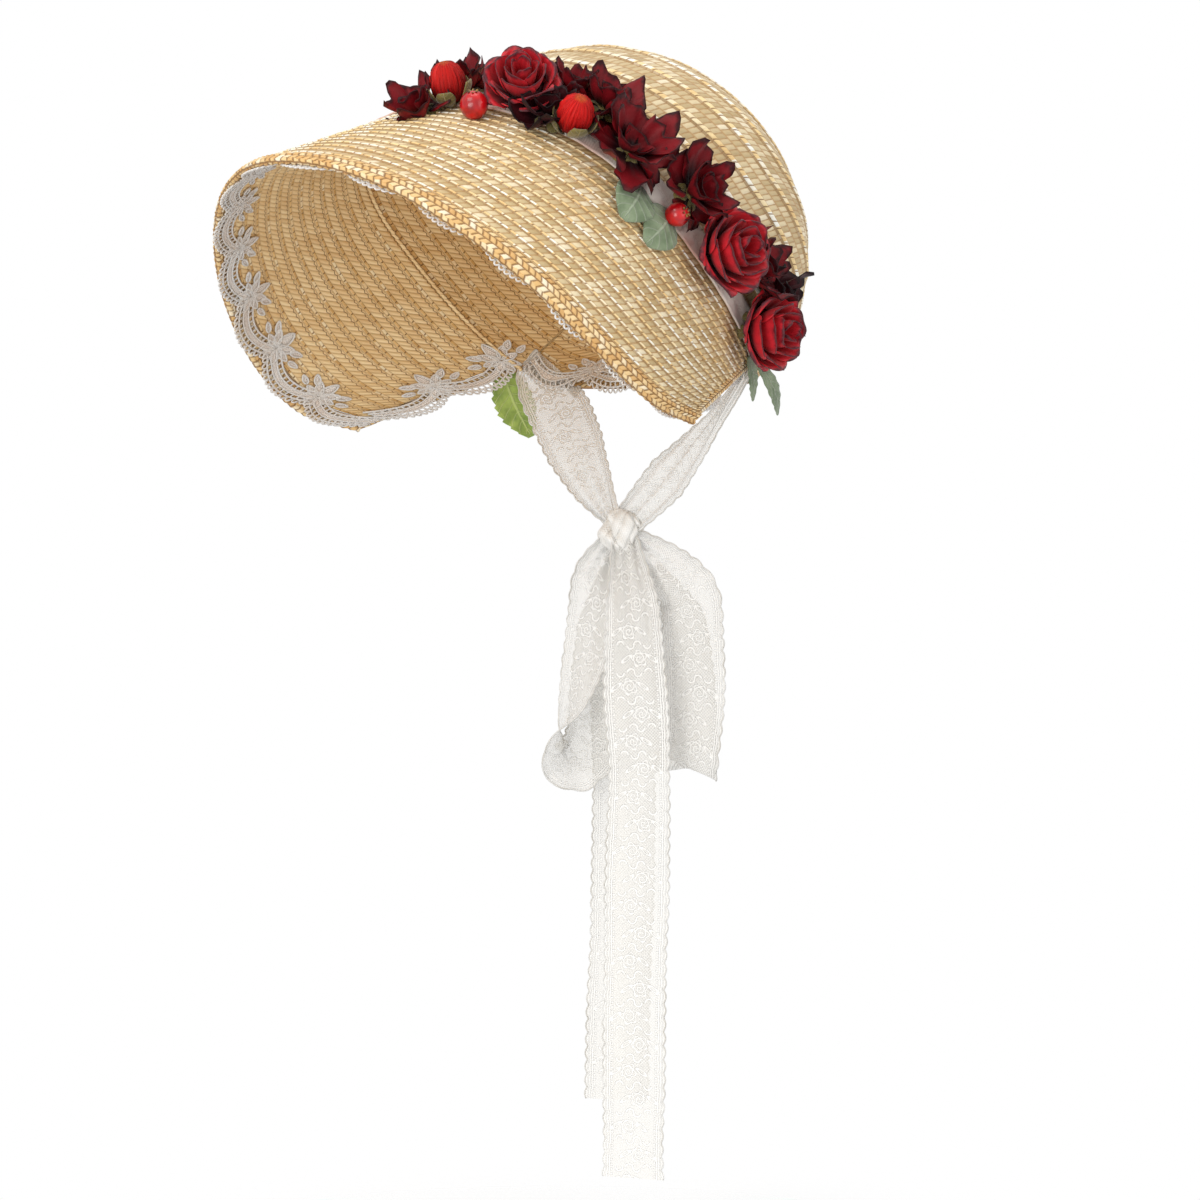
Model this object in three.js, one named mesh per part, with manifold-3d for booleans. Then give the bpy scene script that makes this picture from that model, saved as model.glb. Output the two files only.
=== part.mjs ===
// A straw bonnet with a garland of flowers on its band and lace ribbon ties.
// Millimetres. +X is the wearer's left, -Y the way the wearer faces, +Z up.
// The origin is the middle of the band loop, where the head sits.

import * as THREE from "three";
import Module from "manifold-3d";

const wasm = await Module();
wasm.setup();

// Band loop, where brim and crown meet: an oval in a plane that leans back
const BAND_WIDTH = 186;
const BAND_FORWARD = 71;
const BAND_HEIGHT = 61;
const BAND_LEAN = THREE.MathUtils.degToRad(42.5);
const BAND_UPPER = 82;
const BAND_LOWER = 128;
const BAND_UPPER_ROUND = 2.3;
const BAND_LOWER_ROUND = 2.5;
const NAPE_DROP = 62;
const NAPE_SOFTNESS = 3;
const EAR_ANGLE = 128;

// Brim's front edge, from the top of the arch down to the lower corner
const EDGE_HALF_WIDTH = 117;
const EDGE_FORWARD = 172;
const EDGE_HEIGHT = 31;
const EDGE_SWEEP = 150;
const EDGE_FALL = 113;
const EDGE_SHARES = [
  { side: 0.0, back: 0.0, down: 0.0 },
  { side: 0.256, back: 0.043, down: 0.031 },
  { side: 0.504, back: 0.133, down: 0.133 },
  { side: 0.718, back: 0.26, down: 0.305 },
  { side: 0.88, back: 0.413, down: 0.513 },
  { side: 0.974, back: 0.587, down: 0.739 },
  { side: 1.0, back: 0.787, down: 0.925 },
  { side: 0.949, back: 1.0, down: 1.0 },
];

// Crown: it tapers back and up to a round tip with a soft shoulder
const TIP_BACK = 97;
const TIP_HEIGHT = 47.5;
const TIP_RADIUS = 86;
const TIP_LEAN = THREE.MathUtils.degToRad(37);
const SHOULDER_ROUND = 3.6;
const PROFILE_STEPS = 240;

// Straw braid
const STRAW_WALL = 1.6;
const ROW_STEP = 0.8;
const BRIM_ROWS = 12;
const CROWN_ROWS = 10;
const EDGE_BRAID_WIDTH = 10;
const EDGE_BRAID_WALL = 3.4;
const EDGE_BRAID_PLAITS = 28;
const EDGE_BRAID_SWING = 0.6;
const EDGE_BRAID_RIDGE = 0.35;
const EDGE_BRAID_UNDER = 0.3;
const BINDING_WIDTH = 6.5;
const BINDING_WALL = 2.8;
const CLEARANCE = 0.3;
const PETAL_GAP = 0.6;

// Band and lace trim
const HAT_BAND_WIDTH = 16;
const HAT_BAND_WALL = 1;
const HAT_BAND_ON_BRIM = 0.6;
const HAT_BAND_REACH = 0.985;
const LACE_WALL = 1;
const LACE_SCALLOPS = 12;
const LACE_END_SCALLOPS = 2;
const LACE_CORNER = 20;
const LACE_EAR = 4;
const LACE_INSIDE = 0.1;
const LACE_PEEK = 2.5;
const LACE_RAIL = 3.5;
const LACE_LADDER = 4.5;
const LACE_SCALLOP_DEPTH = 7;
const LACE_PICOT = 0.8;
const LACE_REACH = 0.992;

// Garland sizes
const ROSE_WIDTH = 35;
const BLOOM_WIDTH = 30;
const BUD_WIDTH = 19;
const BERRY_WIDTH = 13;
const LEAF_LENGTH = 26;
const LEAF_WALL = 1;

// Ribbon
const RIBBON_WIDTH = 31;
const RIBBON_WALL = 1;
const BOW_TURN = THREE.MathUtils.degToRad(45);
const KNOT_BACK = 45;
const KNOT_DROP = 131;
const KNOT_WIDTH = 19;
const KNOT_HEIGHT = 21;
const LOOP_LENGTH = 112;
const TAIL_FRONT_LENGTH = 305;
const TAIL_BACK_LENGTH = 272;

// Straw, cloth and flower finishes
const STRAW = { color: 0xd8b878, roughness: 0.55, metalness: 0 };
const BRAID = { color: 0xd09a50, roughness: 0.55, metalness: 0 };
const CREAM = { color: 0xefe6da, roughness: 0.85, metalness: 0 };
const RED = { color: 0xa01828, roughness: 0.6, metalness: 0 };
const BURGUNDY = { color: 0x4a0c16, roughness: 0.7, metalness: 0 };
const BERRY_RED = { color: 0xb01018, roughness: 0.3, metalness: 0 };
const GREEN = { color: 0x66765c, roughness: 0.8, metalness: 0 };

const vec = (x, y, z) => new THREE.Vector3(x, y, z);
const along = (a, b, share) => a.clone().lerp(b, share);
const range = (count) => Array.from({ length: count + 1 }, (_, i) => i / count);
const signedPower = (x, n) => Math.sign(x) * Math.abs(x) ** n;

// Point of the band loop: 0 degrees at the top, 90 on the near side, 180 at the nape
function bandLoop(degrees) {
  const angle = THREE.MathUtils.degToRad(degrees);
  const upper = Math.cos(angle) >= 0;
  const power = 2 / (upper ? BAND_UPPER_ROUND : BAND_LOWER_ROUND);
  const reach = upper ? BAND_UPPER : BAND_LOWER;
  const side = (BAND_WIDTH / 2) * signedPower(Math.sin(angle), power);
  const down = BAND_UPPER - reach * signedPower(Math.cos(angle), power);
  const forward = BAND_FORWARD - down * Math.cos(BAND_LEAN);
  const sloping = BAND_HEIGHT - down * Math.sin(BAND_LEAN);
  const above = (sloping + NAPE_DROP) / NAPE_SOFTNESS;
  const lift = above > 30 ? above : Math.log1p(Math.exp(above));
  return vec(side, -forward, -NAPE_DROP + NAPE_SOFTNESS * lift);
}

// The brim's front edge as one smooth curve from the far corner to the near one
const edgeHalf = EDGE_SHARES.map((row) => vec(
  EDGE_HALF_WIDTH * row.side,
  -(EDGE_FORWARD - EDGE_SWEEP * row.back),
  EDGE_HEIGHT - EDGE_FALL * row.down,
));
const edgeMirror = edgeHalf.slice(1).reverse().map((p) => vec(-p.x, p.y, p.z));
const edgeCurve = new THREE.CatmullRomCurve3([...edgeMirror, ...edgeHalf], false, "catmullrom", 0.5);

// Brim surface: p runs along the rows from -1 to 1, s from the band (0) to the edge (1)
function brimPoint(p, s) {
  return along(bandLoop(p * EAR_ANGLE), edgeCurve.getPoint((p + 1) / 2), s);
}

// Crown surface: a share of its profile from the band (0) to the tip's centre (1)
const tipCentre = vec(0, TIP_BACK, TIP_HEIGHT);
const tipUp = vec(0, -Math.sin(TIP_LEAN), Math.cos(TIP_LEAN));
const tipAway = vec(0, Math.cos(TIP_LEAN), Math.sin(TIP_LEAN));
function crownPoint(degrees, share) {
  const turn = (share * Math.PI) / 2;
  const deep = Math.sin(turn) ** (2 / SHOULDER_ROUND);
  const wide = Math.max(0, Math.cos(turn)) ** (2 / SHOULDER_ROUND);
  const angle = THREE.MathUtils.degToRad(degrees);
  const ring = tipUp.clone().multiplyScalar(TIP_RADIUS * Math.cos(angle));
  ring.x += TIP_RADIUS * Math.sin(angle);
  const wall = along(bandLoop(degrees), ring, deep).multiplyScalar(share >= 1 ? 0 : wide);
  return wall.addScaledVector(tipCentre, share >= 1 ? 1 : deep);
}

// Length of the crown's profile from the band to each of its fine steps, at one place round it
const fineShares = range(PROFILE_STEPS);
function profileLengths(degrees) {
  const lengths = [0];
  fineShares.slice(1).forEach((share, i) => {
    const step = crownPoint(degrees, share).distanceTo(crownPoint(degrees, fineShares[i]));
    lengths.push(lengths[i] + step);
  });
  return lengths;
}
const crownLength = (degrees) => profileLengths(degrees).at(-1);

// Share of the profile that lies a distance up it from the band, in millimetres
function evenSharesAt(degrees) {
  const lengths = profileLengths(degrees);
  const total = lengths.at(-1);
  return (distance) => {
    const wanted = Math.min(Math.max(distance, 0), total);
    const i = Math.max(1, lengths.findIndex((length) => length >= wanted));
    const part = (wanted - lengths[i - 1]) / (lengths[i] - lengths[i - 1]);
    return distance >= total ? 1 : (i - 1 + part) / PROFILE_STEPS;
  };
}

// Outward direction of a surface, worked out from small steps on it
function outward(surface, u, v, stepU, stepV) {
  const alongU = surface(u + stepU, v).sub(surface(u - stepU, v));
  const alongV = surface(u, v + stepV).sub(surface(u, v - stepV));
  return alongU.cross(alongV).normalize();
}

function brimOut(p, s) {
  const held = Math.min(Math.max(p, -0.99), 0.99);
  return outward(brimPoint, held, s, 0.004, 0.01).negate();
}
function crownOut(degrees, share) {
  const held = Math.min(Math.max(share, 0.02), 0.96);
  return outward(crownPoint, degrees, held, 0.5, 0.01);
}

// Mesh of points and triangles with shared corners merged and empty triangles left out
function body(points, triangles) {
  const places = new Map();
  const position = [];
  const index = points.map((p) => {
    const key = [p.x, p.y, p.z].map((v) => Math.round(v * 2000)).join(",");
    if (!places.has(key)) {
      places.set(key, position.length / 3);
      position.push(p.x, p.y, p.z);
    }
    return places.get(key);
  });
  let faces = triangles.map((t) => t.map((i) => index[i]));
  faces = faces.filter(([a, b, c]) => a !== b && b !== c && c !== a);
  const corner = (i) => vec(position[3 * i], position[3 * i + 1], position[3 * i + 2]);
  const volume = faces.reduce((sum, [a, b, c]) => sum + corner(a).dot(corner(b).cross(corner(c))), 0);
  if (volume < 0) faces = faces.map(([a, b, c]) => [a, c, b]);
  const geometry = new THREE.BufferGeometry();
  geometry.setAttribute("position", new THREE.Float32BufferAttribute(position, 3));
  geometry.setIndex(faces.flat());
  return geometry;
}

// Closed wall between a front and a back grid of points; wrap joins its first and last column
function wall(front, back, wrap = false) {
  const columns = front.length;
  const rows = [front[0].length, back[0].length];
  const points = [...front.flat(), ...back.flat()];
  const at = [0, 1].map((side) => (i, j) => side * columns * rows[0] + (i % columns) * rows[side] + j);
  const faces = [];
  const spans = wrap ? columns : columns - 1;
  for (let i = 0; i < spans; i += 1) {
    [0, 1].forEach((side) => {
      for (let j = 0; j < rows[side] - 1; j += 1) {
        const quad = [at[side](i, j), at[side](i + 1, j), at[side](i + 1, j + 1), at[side](i, j + 1)];
        const pair = [[quad[0], quad[1], quad[2]], [quad[0], quad[2], quad[3]]];
        faces.push(...(side === 0 ? pair : pair.map(([a, b, c]) => [a, c, b])));
      }
    });
    const top = (side, column) => at[side](column, rows[side] - 1);
    const low = [at[0](i, 0), at[1](i, 0), at[1](i + 1, 0), at[0](i + 1, 0)];
    const high = [top(0, i + 1), top(1, i + 1), top(1, i), top(0, i)];
    [low, high].forEach((quad) => faces.push([quad[0], quad[1], quad[2]], [quad[0], quad[2], quad[3]]));
  }
  if (!wrap) {
    [0, columns - 1].forEach((i, end) => {
      const ring = range(rows[0] - 1).map((_, j) => at[0](i, j));
      const under = range(rows[1] - 1).map((_, j) => at[1](i, j));
      let a = 0;
      let b = 0;
      while (a < ring.length - 1 || b < under.length - 1) {
        const stepRing = b === under.length - 1
          || (a < ring.length - 1 && (a + 1) / (ring.length - 1) <= (b + 1) / (under.length - 1));
        const face = stepRing ? [ring[a], ring[a + 1], under[b]] : [ring[a], under[b + 1], under[b]];
        if (stepRing) a += 1;
        else b += 1;
        faces.push(end === 0 ? face : [face[0], face[2], face[1]]);
      }
    });
  }
  return body(points, faces);
}

// Solid of a geometry, for joining and cutting
function solid(geometry) {
  const mesh = new wasm.Mesh({
    numProp: 3,
    vertProperties: Float32Array.from(geometry.attributes.position.array),
    triVerts: Uint32Array.from(geometry.index.array),
  });
  return new wasm.Manifold(mesh);
}

// Geometry of a solid's largest piece
function largest(cut) {
  const pieces = cut.decompose().sort((a, b) => b.volume() - a.volume());
  const mesh = pieces[0].getMesh();
  const geometry = new THREE.BufferGeometry();
  geometry.setAttribute("position", new THREE.Float32BufferAttribute(mesh.vertProperties, 3));
  geometry.setIndex(Array.from(mesh.triVerts));
  return geometry;
}

// The object
const bonnet = new THREE.Group();
function add(name, geometry, finish) {
  const mesh = new THREE.Mesh(geometry, new THREE.MeshStandardMaterial(finish));
  mesh.name = name;
  bonnet.add(mesh);
}

// Brim: rows of braid that overlap like shingles, between the end bindings and the edge braid
const BRIM_COLUMNS = 30;
function brimDepth(p) {
  return brimPoint(p, 0).distanceTo(brimPoint(p, 1));
}
const endStep = BINDING_WIDTH / brimPoint(1, 0.5).distanceTo(brimPoint(0.9, 0.5)) * 0.1;
const endGap = (endStep * CLEARANCE) / BINDING_WIDTH;
function brimWall(from, to, columns, profile, innerRows) {
  const positions = range(columns).map((share) => from + (to - from) * share);
  const front = positions.map((p) => profile.map(({ s, lift }) => (
    brimPoint(p, s(p)).addScaledVector(brimOut(p, s(p)), lift)
  )));
  const first = profile[0].s;
  const last = profile[profile.length - 1].s;
  const back = positions.map((p) => range(innerRows).map((share) => {
    const s = first(p) + (last(p) - first(p)) * share;
    return brimPoint(p, s).addScaledVector(brimOut(p, s), -STRAW_WALL / 2);
  }));
  return wall(front, back);
}
const brimInner = (p) => CLEARANCE / 2 / brimDepth(p);
const brimOuter = (p) => 1 - (EDGE_BRAID_WIDTH + CLEARANCE) / brimDepth(p);
const brimRows = range(BRIM_ROWS).slice(0, -1).flatMap((share, row) => {
  const next = (row + 1) / BRIM_ROWS;
  const at = (part) => (p) => brimInner(p) + (brimOuter(p) - brimInner(p)) * part;
  return [{ s: at(share), lift: STRAW_WALL / 2 }, { s: at(next), lift: STRAW_WALL / 2 + ROW_STEP }];
});
add("brim", brimWall(-1 + endStep + endGap, 1 - endStep - endGap, BRIM_COLUMNS, brimRows, 2), STRAW);

// Edge braid: a chunky plait whose ridge zigzags, one plait to each pair of columns
const braidColumns = EDGE_BRAID_PLAITS * 2;
const braidFrom = (p) => 1 - EDGE_BRAID_WIDTH / brimDepth(p);
const braidFront = [];
const braidBack = [];
range(braidColumns).forEach((share, i) => {
  const p = -1 + 2 * share;
  const high = i % 2 === 0 ? 1 : -1;
  const edge = 1 + (EDGE_BRAID_SWING * high) / brimDepth(p);
  const start = braidFrom(p);
  const ridge = start + (edge - start) * EDGE_BRAID_RIDGE * (1 + high / 6);
  const height = (EDGE_BRAID_WALL / 2) * (1 + high / 6);
  const under = EDGE_BRAID_WALL * EDGE_BRAID_UNDER;
  const place = (s, lift) => brimPoint(p, s).addScaledVector(brimOut(p, Math.min(s, 0.99)), lift);
  braidFront.push([place(start, STRAW_WALL / 2), place(ridge, height), place(edge, under)]);
  braidBack.push([place(start, -STRAW_WALL / 2), place(edge, -under)]);
});
add("edge_braid", wall(braidFront, braidBack), BRAID);

// Bindings on the brim's two lower ends
function endBinding(side) {
  const from = side * (1 - endStep);
  const profile = [0, 0.5, 1].map((part) => ({
    s: (p) => brimInner(p) + (brimOuter(p) - brimInner(p)) * part,
    lift: BINDING_WALL / 2,
  }));
  const ends = [from, side].sort((a, b) => a - b);
  return brimWall(ends[0], ends[1], 2, profile, 2);
}
add("end_binding_near", endBinding(1), BRAID);
add("end_binding_far", endBinding(-1), BRAID);

// Crown: concentric rows from the tip, cut off along the band and above the nape binding
const BAND_COLUMNS = 30;
const NAPE_COLUMNS = 10;
const CROWN_INNER_ROWS = 8;
function crownStart(degrees) {
  const nape = Math.abs(degrees - 180) <= 180 - EAR_ANGLE + 0.01;
  return nape ? BINDING_WIDTH + CLEARANCE : CLEARANCE / 2;
}
const napeAngles = range(NAPE_COLUMNS).map((share) => EAR_ANGLE + (360 - 2 * EAR_ANGLE) * share);
const bandAngles = range(BAND_COLUMNS).slice(1, -1).map((share) => EAR_ANGLE * (2 * share - 1));
const crownAngles = [...bandAngles, ...napeAngles];
const crownFront = [];
const crownBack = [];
crownAngles.forEach((degrees) => {
  const total = crownLength(degrees);
  const share = evenSharesAt(degrees);
  const start = crownStart(degrees);
  const place = (distance, lift) => {
    const at = share(distance);
    return crownPoint(degrees, at).addScaledVector(crownOut(degrees, at), lift);
  };
  const front = [];
  for (let row = 0; row < CROWN_ROWS; row += 1) {
    const from = start + ((total - start) * row) / CROWN_ROWS;
    const to = start + ((total - start) * (row + 1)) / CROWN_ROWS;
    front.push(place(from, STRAW_WALL / 2 + ROW_STEP));
    if (row < CROWN_ROWS - 1) front.push(place(to, STRAW_WALL / 2));
  }
  const back = range(CROWN_INNER_ROWS).slice(0, -1).map((part) => place(start + (total - start) * part, -STRAW_WALL / 2));
  front.push(tipCentre.clone().addScaledVector(tipAway, STRAW_WALL / 2));
  back.push(tipCentre.clone().addScaledVector(tipAway, -STRAW_WALL / 2));
  crownFront.push(front);
  crownBack.push(back);
});
add("crown", wall(crownFront, crownBack, true), STRAW);

// Binding round the nape, between the two ears
const napeFront = [];
const napeBack = [];
napeAngles.forEach((degrees) => {
  const share = evenSharesAt(degrees);
  const place = (distance, lift) => {
    const at = share(distance);
    return crownPoint(degrees, at).addScaledVector(crownOut(degrees, at), lift);
  };
  napeFront.push([place(0, BINDING_WALL / 2), place(BINDING_WIDTH, BINDING_WALL / 2)]);
  napeBack.push([place(0, -STRAW_WALL / 2), place(BINDING_WIDTH, -STRAW_WALL / 2)]);
});
add("nape_binding", wall(napeFront, napeBack), BRAID);

// Hat band: a narrow cloth strip over the join, half on the brim and half on the crown
const bandLift = STRAW_WALL / 2 + ROW_STEP + CLEARANCE;
const bandColumns = range(BAND_COLUMNS).map((share) => EAR_ANGLE * (2 * share - 1) * HAT_BAND_REACH);
function bandPlace(degrees, across, lift) {
  const p = degrees / EAR_ANGLE;
  const onBrim = across < 0;
  const share = evenSharesAt(degrees);
  const s = -across / brimDepth(p);
  const at = share(Math.max(across, 0));
  const point = onBrim ? brimPoint(p, s) : crownPoint(degrees, at);
  const out = brimOut(p, Math.max(s, 0.02)).add(crownOut(degrees, at));
  const own = onBrim ? brimOut(p, s) : crownOut(degrees, at);
  return point.addScaledVector(across === 0 ? out.normalize() : own, lift);
}
const bandStops = [-HAT_BAND_ON_BRIM, 0, 1 - HAT_BAND_ON_BRIM].map((share) => share * HAT_BAND_WIDTH);
const bandRow = (lift, margin) => (degrees) => bandStops.map((across) => (
  bandPlace(degrees, across + Math.sign(across) * margin, lift)
));
const bandTop = bandColumns.map(bandRow(bandLift + HAT_BAND_WALL, 0));
const bandUnder = bandColumns.map(bandRow(bandLift, 0));
add("hat_band", wall(bandTop, bandUnder), CREAM);

// Lace trim inside the opening: two rails with a ladder of open windows, and scalloped points.
// A strip is laid by its own function of a share of its length, a distance in from the edge and
// a depth under the straw.
const LACE_STEPS = 4;
const laceLift = EDGE_BRAID_WALL * EDGE_BRAID_UNDER + CLEARANCE;
function laceStrip(scallops, peek, place) {
  const columns = range(scallops * LACE_STEPS);
  const rows = 4;
  const points = [];
  const faces = [];
  columns.forEach((share, i) => {
    const wave = Math.abs(Math.sin((Math.PI * i) / LACE_STEPS));
    const inner = LACE_RAIL * 2 + LACE_LADDER + LACE_SCALLOP_DEPTH * (1 - wave);
    const stops = [-peek - LACE_PICOT * (i % 2), LACE_RAIL, LACE_RAIL + LACE_LADDER, inner];
    stops.forEach((from) => {
      points.push(place(share, from, laceLift), place(share, from, laceLift + LACE_WALL));
    });
  });
  const at = (i, j, side) => (i * rows + j) * 2 + side;
  const filled = (i, j) => {
    if (i < 0 || j < 0 || j > rows - 2 || i > columns.length - 2) return false;
    return j !== 1 || i % 2 === 1;
  };
  const quad = (a, b, c, d) => faces.push([a, b, c], [a, c, d]);
  columns.forEach((_, i) => range(rows - 2).forEach((__, j) => {
    if (!filled(i, j)) return;
    quad(at(i, j, 0), at(i + 1, j, 0), at(i + 1, j + 1, 0), at(i, j + 1, 0));
    quad(at(i, j + 1, 1), at(i + 1, j + 1, 1), at(i + 1, j, 1), at(i, j, 1));
    if (!filled(i, j - 1)) quad(at(i, j, 1), at(i + 1, j, 1), at(i + 1, j, 0), at(i, j, 0));
    if (!filled(i, j + 1)) {
      quad(at(i, j + 1, 0), at(i + 1, j + 1, 0), at(i + 1, j + 1, 1), at(i, j + 1, 1));
    }
    if (!filled(i - 1, j)) quad(at(i, j, 0), at(i, j + 1, 0), at(i, j + 1, 1), at(i, j, 1));
    if (!filled(i + 1, j)) {
      quad(at(i + 1, j, 1), at(i + 1, j + 1, 1), at(i + 1, j + 1, 0), at(i + 1, j, 0));
    }
  }));
  return body(points, faces);
}
function laceEdgePlace(share, from, deep) {
  const p = LACE_REACH * (2 * share - 1);
  const s = 1 - from / brimDepth(p);
  return brimPoint(p, s).addScaledVector(brimOut(p, Math.min(s, 0.99)), -deep);
}
const laceEndPlace = (side) => (share, from, deep) => {
  const depth = brimDepth(side);
  const s = 1 - (LACE_CORNER + (depth - LACE_CORNER - LACE_EAR) * share) / depth;
  const inside = side * (1 - LACE_INSIDE);
  const perShare = brimPoint(side, s).distanceTo(brimPoint(inside, s)) / LACE_INSIDE;
  const p = side * (1 - Math.max(from, 0) / perShare);
  return brimPoint(p, s).addScaledVector(brimOut(p, s), -deep - CLEARANCE);
};
add("lace_trim", laceStrip(LACE_SCALLOPS, LACE_PEEK, laceEdgePlace), CREAM);
add("lace_end_near", laceStrip(LACE_END_SCALLOPS, 0, laceEndPlace(1)), CREAM);
add("lace_end_far", laceStrip(LACE_END_SCALLOPS, 0, laceEndPlace(-1)), CREAM);

// Place on the garland: along the band in degrees, across it towards the crown, and out from it
function garlandFrame(degrees) {
  const p = degrees / EAR_ANGLE;
  const tangent = bandLoop(degrees + 0.5).sub(bandLoop(degrees - 0.5)).normalize();
  const out = brimOut(p, 0.05).add(crownOut(degrees, 0.1));
  out.addScaledVector(tangent, -out.dot(tangent)).normalize();
  const across = new THREE.Vector3().crossVectors(out, tangent).normalize();
  return { tangent, across, out };
}
function garlandPlace(row) {
  const { tangent, across, out } = garlandFrame(row.angle);
  const point = bandLoop(row.angle).addScaledVector(across, row.across).addScaledVector(out, row.lift);
  const lean = row.lean ?? 0;
  const side = row.side ?? 0;
  const axis = out.clone().addScaledVector(across, lean).addScaledVector(tangent, side).normalize();
  const first = tangent.clone().addScaledVector(axis, -tangent.dot(axis)).normalize();
  const second = new THREE.Vector3().crossVectors(axis, first);
  return { point, axis, first, second, root: -row.lift - 2 };
}

// Closed form turned about a garland place: rings of a radius and a height for each angle
function ringForm(row, sectors, rings, grow) {
  const { point, axis, first, second } = garlandPlace(row);
  const points = [];
  const faces = [];
  rings.forEach((ring) => range(sectors).slice(0, -1).forEach((share) => {
    const angle = 2 * Math.PI * share + (row.turn ?? 0);
    const { radius, height } = ring(2 * Math.PI * share);
    const reach = radius > 0 ? radius + grow : 0;
    points.push(point.clone()
      .addScaledVector(first, reach * Math.cos(angle))
      .addScaledVector(second, reach * Math.sin(angle))
      .addScaledVector(axis, height));
  }));
  for (let j = 0; j < rings.length - 1; j += 1) {
    for (let i = 0; i < sectors; i += 1) {
      const next = (i + 1) % sectors;
      const quad = [j * sectors + i, j * sectors + next, (j + 1) * sectors + next, (j + 1) * sectors + i];
      faces.push([quad[0], quad[1], quad[2]], [quad[0], quad[2], quad[3]]);
    }
  }
  return body(points, faces);
}

// Rose: an outer cup of five petals, a ridge of inner petals and a closed heart, on a short stem
const ROSE_RINGS = [
  { reach: 0.55, height: -0.75, petals: 5, shift: 0.0, notch: 0.1 },
  { reach: 0.97, height: -0.2, petals: 5, shift: 0.0, notch: 0.08 },
  { reach: 1.0, height: 0.3, petals: 5, shift: 0.0, notch: 0.1 },
  { reach: 0.8, height: 0.42, petals: 5, shift: 1.0, notch: 0.1 },
  { reach: 0.72, height: 0.3, petals: 5, shift: 1.0, notch: 0.1 },
  { reach: 0.66, height: 0.62, petals: 4, shift: 0.4, notch: 0.12 },
  { reach: 0.42, height: 0.72, petals: 4, shift: 0.4, notch: 0.1 },
  { reach: 0.3, height: 0.55, petals: 3, shift: 0.0, notch: 0.1 },
];
const ROSE_HEART = 0.7;
const STEM_SHARE = 0.18;
function rose(row, grow = 0) {
  const half = ROSE_WIDTH / 2;
  const root = garlandPlace(row).root;
  const petalRing = ({ reach, height, petals, shift, notch }) => (angle) => ({
    radius: half * reach * (1 - notch * Math.abs(Math.sin((petals * angle) / 2 + shift)) ** 3),
    height: half * height + Math.sign(height) * grow,
  });
  return ringForm(row, 15, [
    () => ({ radius: 0, height: root - grow }),
    () => ({ radius: half * STEM_SHARE, height: root - grow }),
    ...ROSE_RINGS.map(petalRing),
    () => ({ radius: 0, height: half * ROSE_HEART + grow }),
  ], grow);
}

// Open bloom: five ruffled petals in a shallow dish, over a cone that sits on the band
const BLOOM_RINGS = [
  { reach: 0.45, height: -0.3, notch: 0.0, ruffle: 0.06, upper: -1 },
  { reach: 1.0, height: 0.22, notch: 0.42, ruffle: 0.12, upper: -1 },
  { reach: 0.98, height: 0.26, notch: 0.42, ruffle: 0.12, upper: 1 },
  { reach: 0.4, height: 0.02, notch: 0.0, ruffle: 0.06, upper: 1 },
];
const BLOOM_HEART = -0.05;
const PETAL_WALL = 1;
function bloom(row, grow = 0) {
  const half = (BLOOM_WIDTH / 2) * (row.size ?? 1);
  const root = garlandPlace(row).root;
  const petalRing = ({ reach, height, notch, ruffle, upper }) => (angle) => ({
    radius: half * reach * (1 - notch * (1 - Math.abs(Math.cos((5 * angle) / 2)) ** 0.7)),
    height: half * (height + ruffle * Math.sin(5 * angle + 1)) + upper * (PETAL_WALL / 2 + grow),
  });
  return ringForm(row, 10, [
    () => ({ radius: 0, height: root - grow }),
    () => ({ radius: half * STEM_SHARE, height: root - grow }),
    ...BLOOM_RINGS.map(petalRing),
    () => ({ radius: 0, height: half * BLOOM_HEART + PETAL_WALL / 2 + grow }),
  ], grow);
}

// Bud and berry: a ball on a short stem, with a lobed calyx below a bud
function ball(row, grow, width, height, lobed) {
  const root = garlandPlace(row).root;
  const half = width / 2;
  const rings = [0.2, 0.4, 0.6, 0.8].map((share) => (angle) => ({
    radius: half * Math.sin(Math.PI * share) * (1 - lobed * 0.12 * Math.cos(5 * angle)),
    height: -half * height * Math.cos(Math.PI * share),
  }));
  return ringForm(row, 8, [
    () => ({ radius: 0, height: root - grow }),
    () => ({ radius: half * 0.3, height: root - grow }),
    ...rings,
    () => ({ radius: 0, height: half * height + grow }),
  ], grow);
}
const bud = (row, grow = 0) => ball(row, grow, BUD_WIDTH, 1.15, 1);
const berry = (row, grow = 0) => ball(row, grow, BERRY_WIDTH * (row.size ?? 1), 1, 0);

// Leaf: a pointed oval that bows over, lying in the band's surface and turned by its own angle
function leaf(row, grow = 0) {
  const { point, axis, first, second } = garlandPlace(row);
  const long = LEAF_LENGTH * (row.long ?? 1);
  const broad = (long / 2) * (row.broad ?? 0.75);
  const turn = THREE.MathUtils.degToRad(row.heading);
  const ahead = first.clone().multiplyScalar(Math.cos(turn)).addScaledVector(second, Math.sin(turn));
  const aside = new THREE.Vector3().crossVectors(axis, ahead);
  const place = (share, side, lift) => {
    const width = broad * Math.sin(Math.PI * Math.min(0.97, 0.06 + share * 0.91)) ** 0.8;
    const bow = (row.bow ?? 3) * Math.sin(Math.PI * share) + (row.rise ?? 0) * share;
    return point.clone().addScaledVector(ahead, long * share + (share === 1 ? grow : 0))
      .addScaledVector(aside, side * (width + grow))
      .addScaledVector(axis, bow + lift - 0.12 * width * Math.abs(side));
  };
  const stops = range(5);
  const half = LEAF_WALL / 2 + grow;
  return wall(
    stops.map((share) => [-1, 0, 1].map((side) => place(share, side, half))),
    stops.map((share) => [-1, 0, 1].map((side) => place(share, side, -half))),
  );
}

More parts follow.
